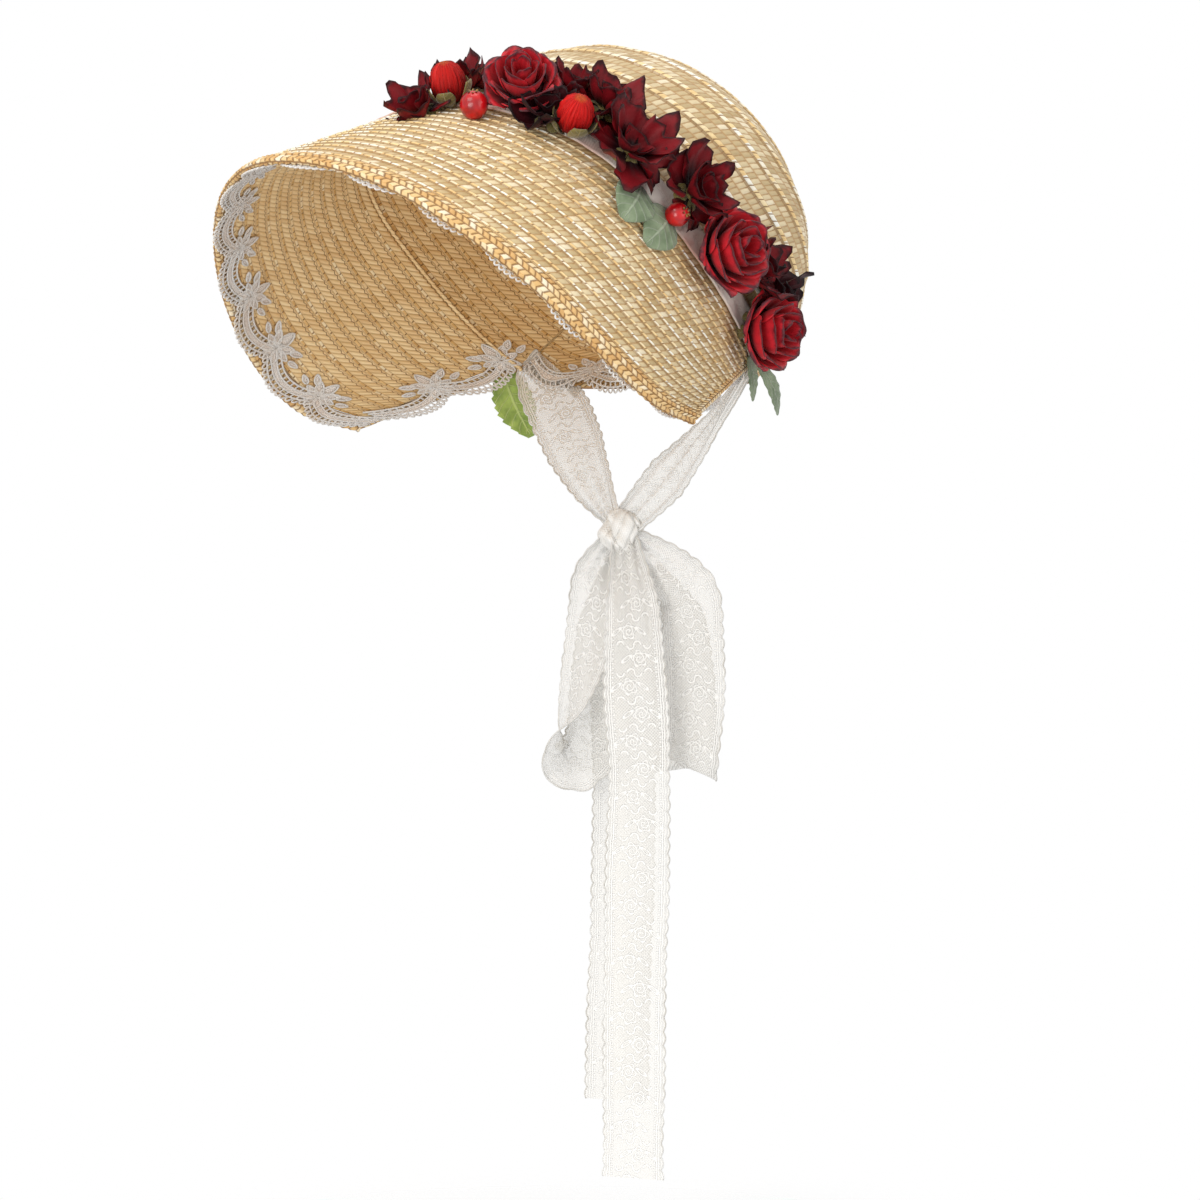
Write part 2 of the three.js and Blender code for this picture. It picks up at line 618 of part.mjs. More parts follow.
// Garland, in the order in which the pieces are set down: each is cut clear of those before it
const GARLAND = [
  { name: "rose_top", form: rose, angle: 26.6, across: 0.5, lift: 16 },
  { name: "rose_side", form: rose, angle: 95.4, across: 2, lift: 17 },
  { name: "rose_ear", form: rose, angle: 114, across: -2, lift: 17 },
  { name: "rose_far_side", form: rose, angle: -98, across: 1, lift: 17 },
  { name: "bud_top", form: bud, angle: 8, across: -9, lift: 14 },
  { name: "bud_side", form: bud, angle: 45.5, across: -6, lift: 14 },
  { name: "bud_far", form: bud, angle: -72, across: -7, lift: 13 },
  { name: "berry_top", form: berry, angle: 19.5, across: -19, lift: 8 },
  { name: "berry_side", form: berry, angle: 84, across: -7, lift: 9, size: 0.85 },
  { name: "berry_far", form: berry, angle: -60, across: -16, lift: 8 },
  { name: "bloom_front", form: bloom, angle: 3, across: -22, lift: 6, size: 0.9, lean: -0.5 },
  { name: "bloom_top", form: bloom, angle: 3, across: 9, lift: 9, size: 0.95 },
  { name: "bloom_black_top", form: bloom, angle: 37, across: -4, lift: 9, size: 0.95, lean: -0.3 },
  { name: "bloom_crown", form: bloom, angle: 37, across: 18, lift: 9, size: 0.8, lean: 0.2 },
  { name: "bloom_upper", form: bloom, angle: 49, across: 18, lift: 11, size: 0.95, lean: 0.3 },
  { name: "bloom_middle", form: bloom, angle: 63, across: 2, lift: 11, size: 1.35 },
  { name: "bloom_side", form: bloom, angle: 85, across: 9, lift: 12, size: 1.1 },
  { name: "bloom_low", form: bloom, angle: 104, across: 16, lift: 11, size: 1.1, lean: 0.4 },
  { name: "bloom_black_low", form: bloom, angle: 116, across: 20, lift: 10, lean: 0.2, side: 0.3 },
  { name: "bloom_far_middle", form: bloom, angle: -68, across: 10, lift: 8, size: 0.9 },
  { name: "bloom_far_side", form: bloom, angle: -82, across: 10, lift: 11, size: 1.15 },
  { name: "bloom_far_low", form: bloom, angle: -115, across: 6, lift: 11, size: 1.1 },
  {
    name: "leaf_round_upper", form: leaf, angle: 72, across: -6, lift: 3.5,
    heading: -90, long: 0.8, broad: 0.85,
  },
  {
    name: "leaf_round_lower", form: leaf, angle: 84, across: -4, lift: 3.5,
    heading: -100, long: 0.85, broad: 0.8,
  },
  {
    name: "leaf_narrow_short", form: leaf, angle: 120, across: -8, lift: 4,
    heading: -20, long: 0.9, broad: 0.4, bow: 1,
  },
  {
    name: "leaf_narrow_long", form: leaf, angle: 124, across: -4, lift: 5,
    heading: -5, long: 1.3, broad: 0.28, rise: 6,
  },
  {
    name: "leaf_far_ear", form: leaf, angle: -123, across: -3, lift: 4,
    heading: 208, long: 1.45, broad: 0.6, rise: 3,
  },
  {
    name: "leaf_far_side", form: leaf, angle: -88, across: -5, lift: 3.5,
    heading: -80, long: 0.9, broad: 0.8,
  },
];

// Everything the garland has to lie outside of: the straw and the hat band, grown by the clearance
function thick(outer, inner, columns) {
  return solid(wall(columns.map(outer), columns.map(inner)));
}
const groundColumns = range(BAND_COLUMNS).map((share) => EAR_ANGLE * (2 * share - 1));
const strawSkin = STRAW_WALL / 2 + ROW_STEP + CLEARANCE;
const bandSkin = bandLift + HAT_BAND_WALL + CLEARANCE;
const brimGround = thick(
  (degrees) => [0, 0.25, 0.5, 0.75, 1].map((s) => {
    const p = degrees / EAR_ANGLE;
    return brimPoint(p, s).addScaledVector(brimOut(p, Math.min(s, 0.99)), strawSkin);
  }),
  (degrees) => [0, 1].map((s) => brimPoint(degrees / EAR_ANGLE, s).multiplyScalar(0.7)),
  groundColumns,
);
const bandGround = thick(
  bandRow(bandSkin, CLEARANCE),
  bandRow(0, CLEARANCE),
  [-0.998 * EAR_ANGLE, ...bandColumns, 0.998 * EAR_ANGLE],
);
const skinAngles = [...groundColumns.slice(1, -1), ...napeAngles];
const crownGround = solid(wall(
  skinAngles.map((degrees) => {
    const share = evenSharesAt(degrees);
    const total = crownLength(degrees);
    return range(10).map((part) => {
      const at = share(total * part);
      const end = part === 1 ? tipCentre.clone() : crownPoint(degrees, at);
      return end.addScaledVector(part === 1 ? tipAway : crownOut(degrees, at), strawSkin);
    });
  }),
  skinAngles.map((degrees) => [bandLoop(degrees), vec(0, 0, 0)]),
  true,
));
let taken = brimGround.add(bandGround).add(crownGround);
const FINISHES = new Map([
  [rose, RED],
  [bloom, BURGUNDY],
  [bud, BERRY_RED],
  [berry, BERRY_RED],
  [leaf, GREEN],
]);
GARLAND.forEach((row) => {
  add(row.name, largest(solid(row.form(row)).subtract(taken)), FINISHES.get(row.form));
  taken = taken.add(solid(row.form(row, PETAL_GAP)));
});

// Ribbon ties: places are measured from the knot, to the side, down and out of the bow's face
const knotCentre = vec(0, KNOT_BACK, -KNOT_DROP);
const bowSide = vec(Math.cos(BOW_TURN), Math.sin(BOW_TURN), 0);
const bowOut = vec(Math.sin(BOW_TURN), -Math.cos(BOW_TURN), 0);
function bowPlace(side, down, out) {
  return knotCentre.clone().addScaledVector(bowSide, side).addScaledVector(bowOut, out).add(vec(0, 0, -down));
}
function acrossFrom(tilt, turn) {
  const up = THREE.MathUtils.degToRad(tilt);
  const round = THREE.MathUtils.degToRad(turn);
  const flat = bowSide.clone().multiplyScalar(Math.cos(up)).add(vec(0, 0, Math.sin(up)));
  return flat.multiplyScalar(Math.cos(round)).addScaledVector(bowOut, Math.sin(round));
}

// Ribbon through stations that each have a middle point, a direction across and a share of width
function ribbon(stations, steps, grow = 0) {
  const path = new THREE.CatmullRomCurve3(stations.map((row) => row.point), false, "centripetal");
  const between = (share) => {
    const place = share * (stations.length - 1);
    const i = Math.min(Math.floor(place), stations.length - 2);
    return { from: stations[i], to: stations[i + 1], part: place - i };
  };
  const sides = [[], []];
  range(steps).forEach((share) => {
    const { from, to, part } = between(share);
    const half = (RIBBON_WIDTH / 2) * (from.width + (to.width - from.width) * part) + grow;
    const middle = path.getPoint(share);
    const ahead = path.getTangent(share);
    const across = along(from.across, to.across, part);
    across.addScaledVector(ahead, -across.dot(ahead)).normalize();
    const face = new THREE.Vector3().crossVectors(across, ahead).normalize();
    [0, 1].forEach((side) => {
      const lift = (side === 0 ? 1 : -1) * (RIBBON_WALL / 2 + grow);
      sides[side].push([-half, half].map((reach) => (
        middle.clone().addScaledVector(across, reach).addScaledVector(face, lift)
      )));
    });
  });
  return wall(sides[0], sides[1]);
}
const bowStations = (rows, length) => rows.map((row) => ({
  point: bowPlace(row.side * RIBBON_WIDTH, row.down * length, row.out * RIBBON_WIDTH),
  across: acrossFrom(row.tilt, row.turn),
  width: row.width,
}));

// Knot: a pinched ball wrapped by one turn of ribbon
function knot(grow = 0) {
  const rows = range(6);
  const sectors = range(12).slice(0, -1);
  const at = (share, around) => {
    const pinch = 1 - 0.16 * Math.cos(4 * Math.PI * share);
    const radius = Math.sin(Math.PI * share) * pinch * (1 + 0.06 * Math.cos(6 * Math.PI * around));
    const side = (KNOT_WIDTH / 2 + grow) * radius * Math.cos(2 * Math.PI * around);
    const out = (KNOT_WIDTH * 0.42 + grow) * radius * Math.sin(2 * Math.PI * around);
    return bowPlace(side, -(KNOT_HEIGHT / 2 + grow) * Math.cos(Math.PI * share), out);
  };
  const points = rows.flatMap((share) => sectors.map((around) => at(share, around)));
  const faces = [];
  for (let j = 0; j < rows.length - 1; j += 1) {
    for (let i = 0; i < sectors.length; i += 1) {
      const next = (i + 1) % sectors.length;
      const quad = [j * 12 + i, j * 12 + next, (j + 1) * 12 + next, (j + 1) * 12 + i];
      faces.push([quad[0], quad[1], quad[2]], [quad[0], quad[2], quad[3]]);
    }
  }
  return body(points, faces);
}

const LOOP_NEAR = [
  { side: 0.18, down: 0.03, out: 0.0, tilt: 60, turn: 0, width: 0.35 },
  { side: 0.68, down: 0.15, out: 0.12, tilt: 55, turn: 0, width: 0.75 },
  { side: 1.03, down: 0.27, out: 0.2, tilt: 15, turn: 20, width: 1.0 },
  { side: 1.1, down: 0.46, out: 0.22, tilt: 12, turn: 20, width: 1.0 },
  { side: 1.12, down: 0.71, out: 0.2, tilt: 0, turn: 30, width: 1.0 },
  { side: 1.06, down: 0.93, out: 0.12, tilt: 0, turn: 30, width: 1.0 },
  { side: 1.0, down: 1.0, out: -0.06, tilt: -4, turn: 24, width: 1.0 },
  { side: 1.0, down: 0.9, out: -0.24, tilt: 0, turn: 20, width: 1.0 },
  { side: 0.97, down: 0.63, out: -0.3, tilt: 8, turn: 16, width: 1.0 },
  { side: 0.82, down: 0.37, out: -0.28, tilt: 25, turn: 10, width: 0.9 },
  { side: 0.4, down: 0.16, out: -0.16, tilt: 45, turn: 0, width: 0.4 },
];
const LOOP_FAR = [
  { side: -0.14, down: 0.03, out: -0.02, tilt: -45, turn: 0, width: 0.3 },
  { side: -0.4, down: 0.18, out: -0.02, tilt: -12, turn: 14, width: 0.65 },
  { side: -0.44, down: 0.38, out: -0.06, tilt: -6, turn: 36, width: 1.0 },
  { side: -0.58, down: 0.57, out: -0.06, tilt: -8, turn: 48, width: 1.0 },
  { side: -0.78, down: 0.74, out: -0.02, tilt: -17, turn: 72, width: 1.0 },
  { side: -1.0, down: 0.87, out: -0.02, tilt: -17, turn: 100, width: 1.0 },
  { side: -0.98, down: 0.97, out: -0.08, tilt: 17, turn: 118, width: 1.0 },
  { side: -0.74, down: 1.0, out: -0.24, tilt: 96, turn: 130, width: 1.0 },
  { side: -0.42, down: 0.9, out: -0.44, tilt: 146, turn: 160, width: 1.0 },
  { side: -0.3, down: 0.66, out: -0.5, tilt: 175, turn: 176, width: 1.0 },
  { side: -0.22, down: 0.4, out: -0.44, tilt: 178, turn: 180, width: 0.9 },
  { side: -0.12, down: 0.16, out: -0.24, tilt: 180, turn: 180, width: 0.4 },
];
const TAIL_FRONT = [
  { side: 0.05, down: 0.01, out: 0.1, tilt: -20, turn: 0, width: 0.4 },
  { side: 0.16, down: 0.11, out: 0.4, tilt: -5, turn: 0, width: 0.8 },
  { side: 0.21, down: 0.24, out: 0.48, tilt: 0, turn: 14, width: 1.0 },
  { side: 0.27, down: 0.38, out: 0.42, tilt: 0, turn: 20, width: 1.0 },
  { side: 0.24, down: 0.53, out: 0.34, tilt: 0, turn: 10, width: 1.0 },
  { side: 0.21, down: 0.68, out: 0.36, tilt: 0, turn: 16, width: 1.0 },
  { side: 0.19, down: 0.84, out: 0.42, tilt: 2, turn: 20, width: 1.0 },
  { side: 0.18, down: 1.0, out: 0.38, tilt: 7, turn: 22, width: 1.0 },
];
const TAIL_BACK = [
  { side: -0.02, down: 0.01, out: -0.1, tilt: 0, turn: 0, width: 0.35 },
  { side: 0.0, down: 0.12, out: -0.48, tilt: 0, turn: 4, width: 0.7 },
  { side: 0.02, down: 0.24, out: -0.66, tilt: 0, turn: 10, width: 1.0 },
  { side: 0.05, down: 0.45, out: -0.7, tilt: 0, turn: 10, width: 1.0 },
  { side: 0.02, down: 0.66, out: -0.64, tilt: 0, turn: 14, width: 1.0 },
  { side: -0.04, down: 0.84, out: -0.62, tilt: 0, turn: 12, width: 1.0 },
  { side: -0.07, down: 1.0, out: -0.6, tilt: -3, turn: 10, width: 1.0 },
];

// Straps: each starts flat against the inside of an ear and narrows to the knot
const STRAP_TOP = 9;
const STRAP_ANGLE = 137;
const STRAP_NEAR = [
  { part: 0.2, bow: 0.02, tilt: -40, turn: 60, width: 0.34 },
  { part: 0.45, bow: 0.05, tilt: -42, turn: 45, width: 0.6 },
  { part: 0.7, bow: 0.05, tilt: -42, turn: 30, width: 0.75 },
  { part: 1.0, bow: 0.0, tilt: -40, turn: 20, width: 0.5 },
];
const STRAP_FAR = [
  { part: 0.25, bow: -0.04, tilt: 14, turn: 0, width: 1.0 },
  { part: 0.5, bow: -0.06, tilt: 22, turn: 10, width: 0.95 },
  { part: 0.75, bow: -0.06, tilt: 28, turn: 24, width: 0.7 },
  { part: 1.0, bow: 0.0, tilt: 28, turn: 40, width: 0.3 },
];
function strapStations(side, rows, topWidth) {
  const angle = 180 + side * (STRAP_ANGLE - 180);
  const inside = -(STRAW_WALL / 2 + CLEARANCE + RIBBON_WALL * 2);
  const share = evenSharesAt(angle);
  const tangent = bandLoop(angle + 1).sub(bandLoop(angle - 1)).normalize().multiplyScalar(side);
  const seat = (distance) => {
    const at = share(distance);
    return crownPoint(angle, at).addScaledVector(crownOut(angle, at), inside);
  };
  const start = seat(0);
  const end = bowPlace(side * KNOT_WIDTH * 0.2, -KNOT_HEIGHT * 0.25, 0);
  const top = { point: seat(STRAP_TOP), across: tangent.clone(), width: topWidth };
  const brink = { point: start.clone(), across: tangent.clone(), width: topWidth };
  const hang = rows.map((row) => ({
    point: along(start, end, row.part).addScaledVector(bowSide, row.bow * RIBBON_WIDTH),
    across: acrossFrom(row.tilt, row.turn),
    width: row.width,
  }));
  hang.forEach((row, i) => {
    const before = i === 0 ? tangent : hang[i - 1].across;
    if (row.across.dot(before) < 0) row.across.negate();
  });
  return [top, brink, ...hang];
}

const TIES = [
  { name: "tail_front", stations: bowStations(TAIL_FRONT, TAIL_FRONT_LENGTH), steps: 12 },
  { name: "loop_near", stations: bowStations(LOOP_NEAR, LOOP_LENGTH), steps: 17 },
  { name: "loop_far", stations: bowStations(LOOP_FAR, LOOP_LENGTH), steps: 20 },
  { name: "tail_back", stations: bowStations(TAIL_BACK, TAIL_BACK_LENGTH), steps: 12 },
  { name: "strap_near", stations: strapStations(1, STRAP_NEAR, 0.34), steps: 10 },
  { name: "strap_far", stations: strapStations(-1, STRAP_FAR, 1.0), steps: 10 },
];
const guardAngles = [...bandAngles.slice(-2), ...napeAngles, ...bandAngles.slice(0, 2).map((a) => a + 360)];
const guardWall = (lift) => guardAngles.map((degrees) => {
  const share = evenSharesAt(degrees);
  const rows = [0, BINDING_WIDTH, STRAP_TOP * 2].map((distance) => {
    const at = share(distance);
    return crownPoint(degrees, at).addScaledVector(crownOut(degrees, at), lift);
  });
  return [along(rows[1], rows[0], 1.2), ...rows];
});
const strapGuard = solid(wall(guardWall(strawSkin), guardWall(-(STRAW_WALL / 2 + CLEARANCE))));
add("knot", knot(), CREAM);
let tied = solid(knot(CLEARANCE)).add(strapGuard);
TIES.forEach((row) => {
  add(row.name, largest(solid(ribbon(row.stations, row.steps)).subtract(tied)), CREAM);
  tied = tied.add(solid(ribbon(row.stations, row.steps, CLEARANCE)));
});

export default bonnet;
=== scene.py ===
# %% [markdown]
# # A straw bonnet with a flower garland and lace ribbon ties
#
# The bonnet is sewn from rows of straw braid: a crown that tapers back and a wide brim that flares
# round the face. A chunky plait finishes the brim's edge, cream lace is sewn inside it, flowers lie
# on the band, and a lace ribbon is tied in a bow below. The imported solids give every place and
# size. This lesson puts the real surfaces over them: plaited rows, petals, cords and netting.

# %% Load the frame
import math

import bmesh
import bpy
import numpy as np
from mathutils import Matrix


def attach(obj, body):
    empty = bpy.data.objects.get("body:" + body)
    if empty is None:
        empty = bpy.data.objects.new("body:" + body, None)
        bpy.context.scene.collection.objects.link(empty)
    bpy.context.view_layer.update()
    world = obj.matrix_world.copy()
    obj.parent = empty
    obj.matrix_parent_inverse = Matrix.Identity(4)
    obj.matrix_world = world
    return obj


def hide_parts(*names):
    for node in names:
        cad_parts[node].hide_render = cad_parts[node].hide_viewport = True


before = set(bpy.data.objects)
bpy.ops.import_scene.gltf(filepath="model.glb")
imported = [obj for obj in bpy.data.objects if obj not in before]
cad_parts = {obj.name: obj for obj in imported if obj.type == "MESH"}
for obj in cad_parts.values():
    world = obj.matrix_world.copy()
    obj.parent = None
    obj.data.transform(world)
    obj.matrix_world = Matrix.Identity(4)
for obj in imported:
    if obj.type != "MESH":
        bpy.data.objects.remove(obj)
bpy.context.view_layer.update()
MM = 0.001

# %% [markdown]
# ## Camera and place of the picture
#
# The bonnet is seen from its front left, almost level with it. A long lens far away keeps the
# brim's curves true. The aim point is given by how far the band's middle lies from the middle of
# the picture, so the bonnet hangs where the photograph shows it.

# %% Camera
AZIMUTH, ELEVATION = math.radians(45.0), math.radians(1.1)
DISTANCE, AIM_RIGHT, AIM_DOWN = 2000.0, 21.86, 162.8
back = np.array([math.sin(AZIMUTH) * math.cos(ELEVATION),
                 -math.cos(AZIMUTH) * math.cos(ELEVATION), math.sin(ELEVATION)])
right = np.array([math.cos(AZIMUTH), math.sin(AZIMUTH), 0.0])
up = np.cross(back, right)
aim = AIM_RIGHT * right - AIM_DOWN * up
camera_data = bpy.data.cameras.new("camera")
camera_data.sensor_width = 36.0
camera_data.lens = 129.0
camera_data.clip_end = 50.0
camera = bpy.data.objects.new("camera", camera_data)
bpy.context.scene.collection.objects.link(camera)
turn = np.eye(4)
turn[:3] = np.stack([right, up, back, (aim + DISTANCE * back) * MM], 1)
camera.matrix_world = Matrix(turn.tolist())
bpy.context.scene.camera = camera
print("camera at", [round(float(x), 3) for x in turn[:3, 3]])

# %% [markdown]
# ## Meshes from grids
#
# Every new piece is a surface: a grid of points worked out as one numpy array. One helper turns any
# number of such grids into one object. It welds the points that meet, so that a closed form has
# no seam, fills the ends if asked, and turns a closed form's faces outwards.

# %% Grid helpers
def quads_of(rows, columns):
    """Corner numbers of the quads between neighbouring points of a rows x columns grid."""
    i = np.arange(rows - 1)[:, None]
    j = np.arange(columns - 1)[None, :]
    a = i * columns + j
    return np.stack([a, a + 1, a + columns + 1, a + columns], axis=-1).reshape(-1, 4)


def piece(name, grids, finishes, node=None, closed=True, weld=1e-6):
    """One object from grids of points in mm [..., rows, columns, 3], pattern places and finish."""
    corners, quads, places, slots, start = [], [], [], [], 0
    for points, pattern, index in grids:
        points = np.asarray(points, float)
        rows, columns = points.shape[-3:-1]
        copies = points.reshape(-1, rows * columns, 3)
        pattern = np.broadcast_to(0.0 if pattern is None else pattern, (*points.shape[:-1], 2))
        one = quads_of(rows, columns)
        shift = (np.arange(len(copies)) * rows * columns)[:, None, None]
        quads.append((one[None] + shift).reshape(-1, 4) + start)
        corners.append(copies.reshape(-1, 3))
        places.append(pattern.reshape(-1, 2))
        slots.append(np.full(len(quads[-1]), index))
        start += len(corners[-1])
    corners, quads, places, slots = map(np.concatenate, (corners, quads, places, slots))
    mesh = bpy.data.meshes.new(name)
    mesh.vertices.add(len(corners))
    mesh.vertices.foreach_set("co", (corners * MM).ravel())
    mesh.loops.add(quads.size)
    mesh.loops.foreach_set("vertex_index", quads.ravel().astype(np.int32))
    mesh.polygons.add(len(quads))
    mesh.polygons.foreach_set("loop_start", np.arange(0, quads.size, 4, dtype=np.int32))
    mesh.polygons.foreach_set("material_index", slots.astype(np.int32))
    mesh.uv_layers.new(name="pattern").data.foreach_set("uv", places[quads.ravel()].ravel())
    mesh.update(calc_edges=True)
    work = bmesh.new()
    work.from_mesh(mesh)
    bmesh.ops.remove_doubles(work, verts=work.verts, dist=weld)
    if closed:
        rim = [edge for edge in work.edges if edge.is_boundary]
        if rim:
            bmesh.ops.holes_fill(work, edges=rim, sides=0)
        bmesh.ops.recalc_face_normals(work, faces=work.faces)
    for face in work.faces:
        face.smooth = True
    work.to_mesh(mesh)
    work.free()
    thing = bpy.data.objects.new(name, mesh)
    bpy.context.scene.collection.objects.link(thing)
    for finish in finishes:
        mesh.materials.append(finish.material)
    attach(thing, "root")
    if node:
        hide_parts(node)
    print(name, "triangles:", sum(len(face.vertices) - 2 for face in mesh.polygons))
    return thing


# %% [markdown]
# ## Finishes from sums
#
# A finish is a material whose nodes are written as sums. `Signal` holds one number that changes
# over the surface: adding or multiplying two of them puts in a Math node. Colours are mixed by
# `blend`, and `node` makes any other node from its type, its settings and its inputs.

# %% Signal and Finish
def sum_node(operation, flipped=False):
    """A method that puts in one Math node, with its values the other way round if flipped."""
    def method(self, *others):
        return self.math(operation, *([*others, self] if flipped else [self, *others]))
    return method


class Signal:
    """A number that changes over a surface, with sums written as in Python."""

    def __init__(self, finish, socket):
        self.finish, self.socket = finish, socket

    def math(self, operation, *values):
        made = self.finish.node("ShaderNodeMath", {"operation": operation}, list(values))
        return Signal(self.finish, made.outputs[0])

    __add__, __radd__ = sum_node("ADD"), sum_node("ADD", True)
    __sub__, __rsub__ = sum_node("SUBTRACT"), sum_node("SUBTRACT", True)
    __mul__, __truediv__, __pow__ = map(sum_node, ("MULTIPLY", "DIVIDE", "POWER"))
    floor, part, sine, size = map(sum_node, ("FLOOR", "FRACT", "SINE", "ABSOLUTE"))
    least, most = sum_node("MINIMUM"), sum_node("MAXIMUM")

    def rise(self, low, high):
        """0 below low, 1 above high, and a smooth step between them."""
        smooth = {"interpolation_type": "SMOOTHSTEP"}
        made = self.finish.node("ShaderNodeMapRange", smooth, [self, low, high])
        return Signal(self.finish, made.outputs[0])


class Finish:
    """A material: numbers that stay the same are set on the shader, the rest are fed to it."""

    def __init__(self, name, **constants):
        self.material = bpy.data.materials.new(name)
        self.material.use_nodes = True
        self.tree = self.material.node_tree
        self.shader = next(n for n in self.tree.nodes if n.type == "BSDF_PRINCIPLED")
        for key, value in constants.items():
            self.shader.inputs[key.replace("_", " ")].default_value = value

    def node(self, kind, settings=None, inputs=None):
        made = self.tree.nodes.new(kind)
        for key, value in (settings or {}).items():
            setattr(made, key, value)
        inputs = inputs or {}
        for key, value in inputs.items() if isinstance(inputs, dict) else enumerate(inputs):
            value = value.socket if isinstance(value, Signal) else value
            if isinstance(value, bpy.types.NodeSocket):
                self.tree.links.new(value, made.inputs[key])
            else:
                made.inputs[key].default_value = value
        return made

    def pattern(self):
        """The two pattern places that the piece's own map carries."""
        return self.split(self.node("ShaderNodeUVMap", {"uv_map": "pattern"}).outputs[0])[:2]

    def split(self, vector):
        parts = self.node("ShaderNodeSeparateXYZ", {}, [vector])
        return [Signal(self, part) for part in parts.outputs]

    def vector(self, x, y, z=0.0):
        return self.node("ShaderNodeCombineXYZ", {}, [x, y, z]).outputs[0]

    def chance(self, x, y):
        """A number from 0 to 1 that is the same all over one cell."""
        place = {"Vector": self.vector(x, y)}
        made = self.node("ShaderNodeTexWhiteNoise", {"noise_dimensions": "2D"}, place)
        return Signal(self, made.outputs["Value"])

    def cloud(self, place, scale, detail=2.0):
        """Soft noise at a place, from 0 to 1. A place of None reads the object's own metres."""
        if place is None:
            place = self.node("ShaderNodeTexCoord").outputs["Object"]
        inputs = {"Vector": place, "Scale": scale, "Detail": detail}
        made = self.node("ShaderNodeTexNoise", {}, inputs)
        return Signal(self, made.outputs[0])

    def ramp(self, value, stops):
        """Colours between stops, each of a place from 0 to 1 and a colour."""
        made = self.node("ShaderNodeValToRGB", {}, {"Fac": value})
        elements = made.color_ramp.elements
        while len(elements) < len(stops):
            elements.new(0.5)
        for element, (place, tone) in zip(elements, stops):
            element.position, element.color = place, tone
        return made.outputs["Color"]

    def blend(self, factor, low, high):
        made = self.node("ShaderNodeMix", {"data_type": "RGBA"}, {0: factor, 6: low, 7: high})
        return made.outputs[2]

    def feed(self, **signals):
        for key, value in signals.items():
            socket = value.socket if isinstance(value, Signal) else value
            self.tree.links.new(socket, self.shader.inputs[key.replace("_", " ")])

    def relief(self, height, depth_mm):
        inputs = {"Height": height, "Distance": depth_mm * MM, "Strength": 1.0}
        made = self.node("ShaderNodeBump", {}, inputs)
        self.tree.links.new(made.outputs[0], self.shader.inputs["Normal"])


def colour(red, green, blue):
    """The shader's colour for a colour of 0 to 255 as seen on a screen."""
    seen = np.array([red, green, blue]) / 255.0
    linear = np.where(seen <= 0.04045, seen / 12.92, ((seen + 0.055) / 1.055) ** 2.4)
    return (*linear.tolist(), 1.0)


def stops(*rows):
    """Stops of a ramp from rows of place, red, green and blue."""
    return [(row[0], colour(*row[1:])) for row in rows]


print("a mid straw colour in the shader:", [round(x, 3) for x in colour(214, 184, 136)])

# %% [markdown]
# ## The bonnet's two surfaces
#
# The brim is ruled from the band loop to a smooth curve through the points of its front edge. The
# crown sweeps from the same loop to a round tip with a soft shoulder. Both are written here as in
# the solids, for whole arrays of places at once.

# %% Brim and crown surfaces
EAR_ANGLE = 128.0
TIP = np.array([0.0, 97.0, 47.5])
TIP_RADIUS, TIP_LEAN, SHOULDER = 86.0, math.radians(37.0), 3.6
TIP_UP = np.array([0.0, -math.sin(TIP_LEAN), math.cos(TIP_LEAN)])
TIP_AWAY = np.array([0.0, math.cos(TIP_LEAN), math.sin(TIP_LEAN)])
BAND_LEAN, BAND_HALF_WIDTH, BAND_UPPER, BAND_LOWER = math.radians(42.5), 93, 82.0, 128.0
BAND_FRONT, BAND_TOP, NAPE_FLOOR, NAPE_SOFTNESS = -71, 61, -62, 3
EDGE_HALF_WIDTH, EDGE_DEPTH, EDGE_DROP, EDGE_FRONT, EDGE_TOP = 117, 150, 113, -172, 31
# Each row: shares of the edge's half width, depth and drop, from its top to its lower corner.
EDGE_SHARES = np.array([[0, 0, 0], [0.256, 0.043, 0.031], [0.504, 0.133, 0.133],
                        [0.718, 0.26, 0.305], [0.88, 0.413, 0.513], [0.974, 0.587, 0.739],
                        [1, 0.787, 0.925], [0.949, 1, 1]])
PROFILE = np.linspace(0, 1, 241)
edge_size = np.array([EDGE_HALF_WIDTH, EDGE_DEPTH, -EDGE_DROP])
edge_half = EDGE_SHARES * edge_size + [0, EDGE_FRONT, EDGE_TOP]
edge_points = np.concatenate([edge_half[:0:-1] * [-1, 1, 1], edge_half])


def signed_power(x, n):
    return np.sign(x) * np.abs(x) ** n


def band_loop(degrees):
    """An oval leaning back 42.5 degrees, squarer below, softened at the nape's floor."""
    angle = np.radians(degrees)
    upper = np.cos(angle) >= 0
    power = 2 / np.where(upper, 2.3, 2.5)
    reach = np.where(upper, BAND_UPPER, BAND_LOWER)
    down = BAND_UPPER - reach * signed_power(np.cos(angle), power)
    above_floor = BAND_TOP - down * math.sin(BAND_LEAN) - NAPE_FLOOR
    height = NAPE_FLOOR + NAPE_SOFTNESS * np.logaddexp(0, above_floor / NAPE_SOFTNESS)
    aside = BAND_HALF_WIDTH * signed_power(np.sin(angle), power)
    return np.stack([aside, down * math.cos(BAND_LEAN) + BAND_FRONT, height], -1)


def smooth_curve(points, share):
    """Cubic through points, each tangent half the step between its two neighbours."""
    ends = np.concatenate([[2 * points[0] - points[1]], points, [2 * points[-1] - points[-2]]])
    place = np.clip(share, 0, 1) * (len(points) - 1)
    i = np.minimum(place.astype(int), len(points) - 2)
    w = (place - i)[..., None]
    a, b, c, d = ends[i], ends[i + 1], ends[i + 2], ends[i + 3]
    return ((2 * w**3 - 3 * w**2 + 1) * b + (w**3 - 2 * w**2 + w) * (c - a) / 2
            + (3 * w**2 - 2 * w**3) * c + (w**3 - w**2) * (d - b) / 2)


def unit(vectors):
    return vectors / np.linalg.norm(vectors, axis=-1, keepdims=True)


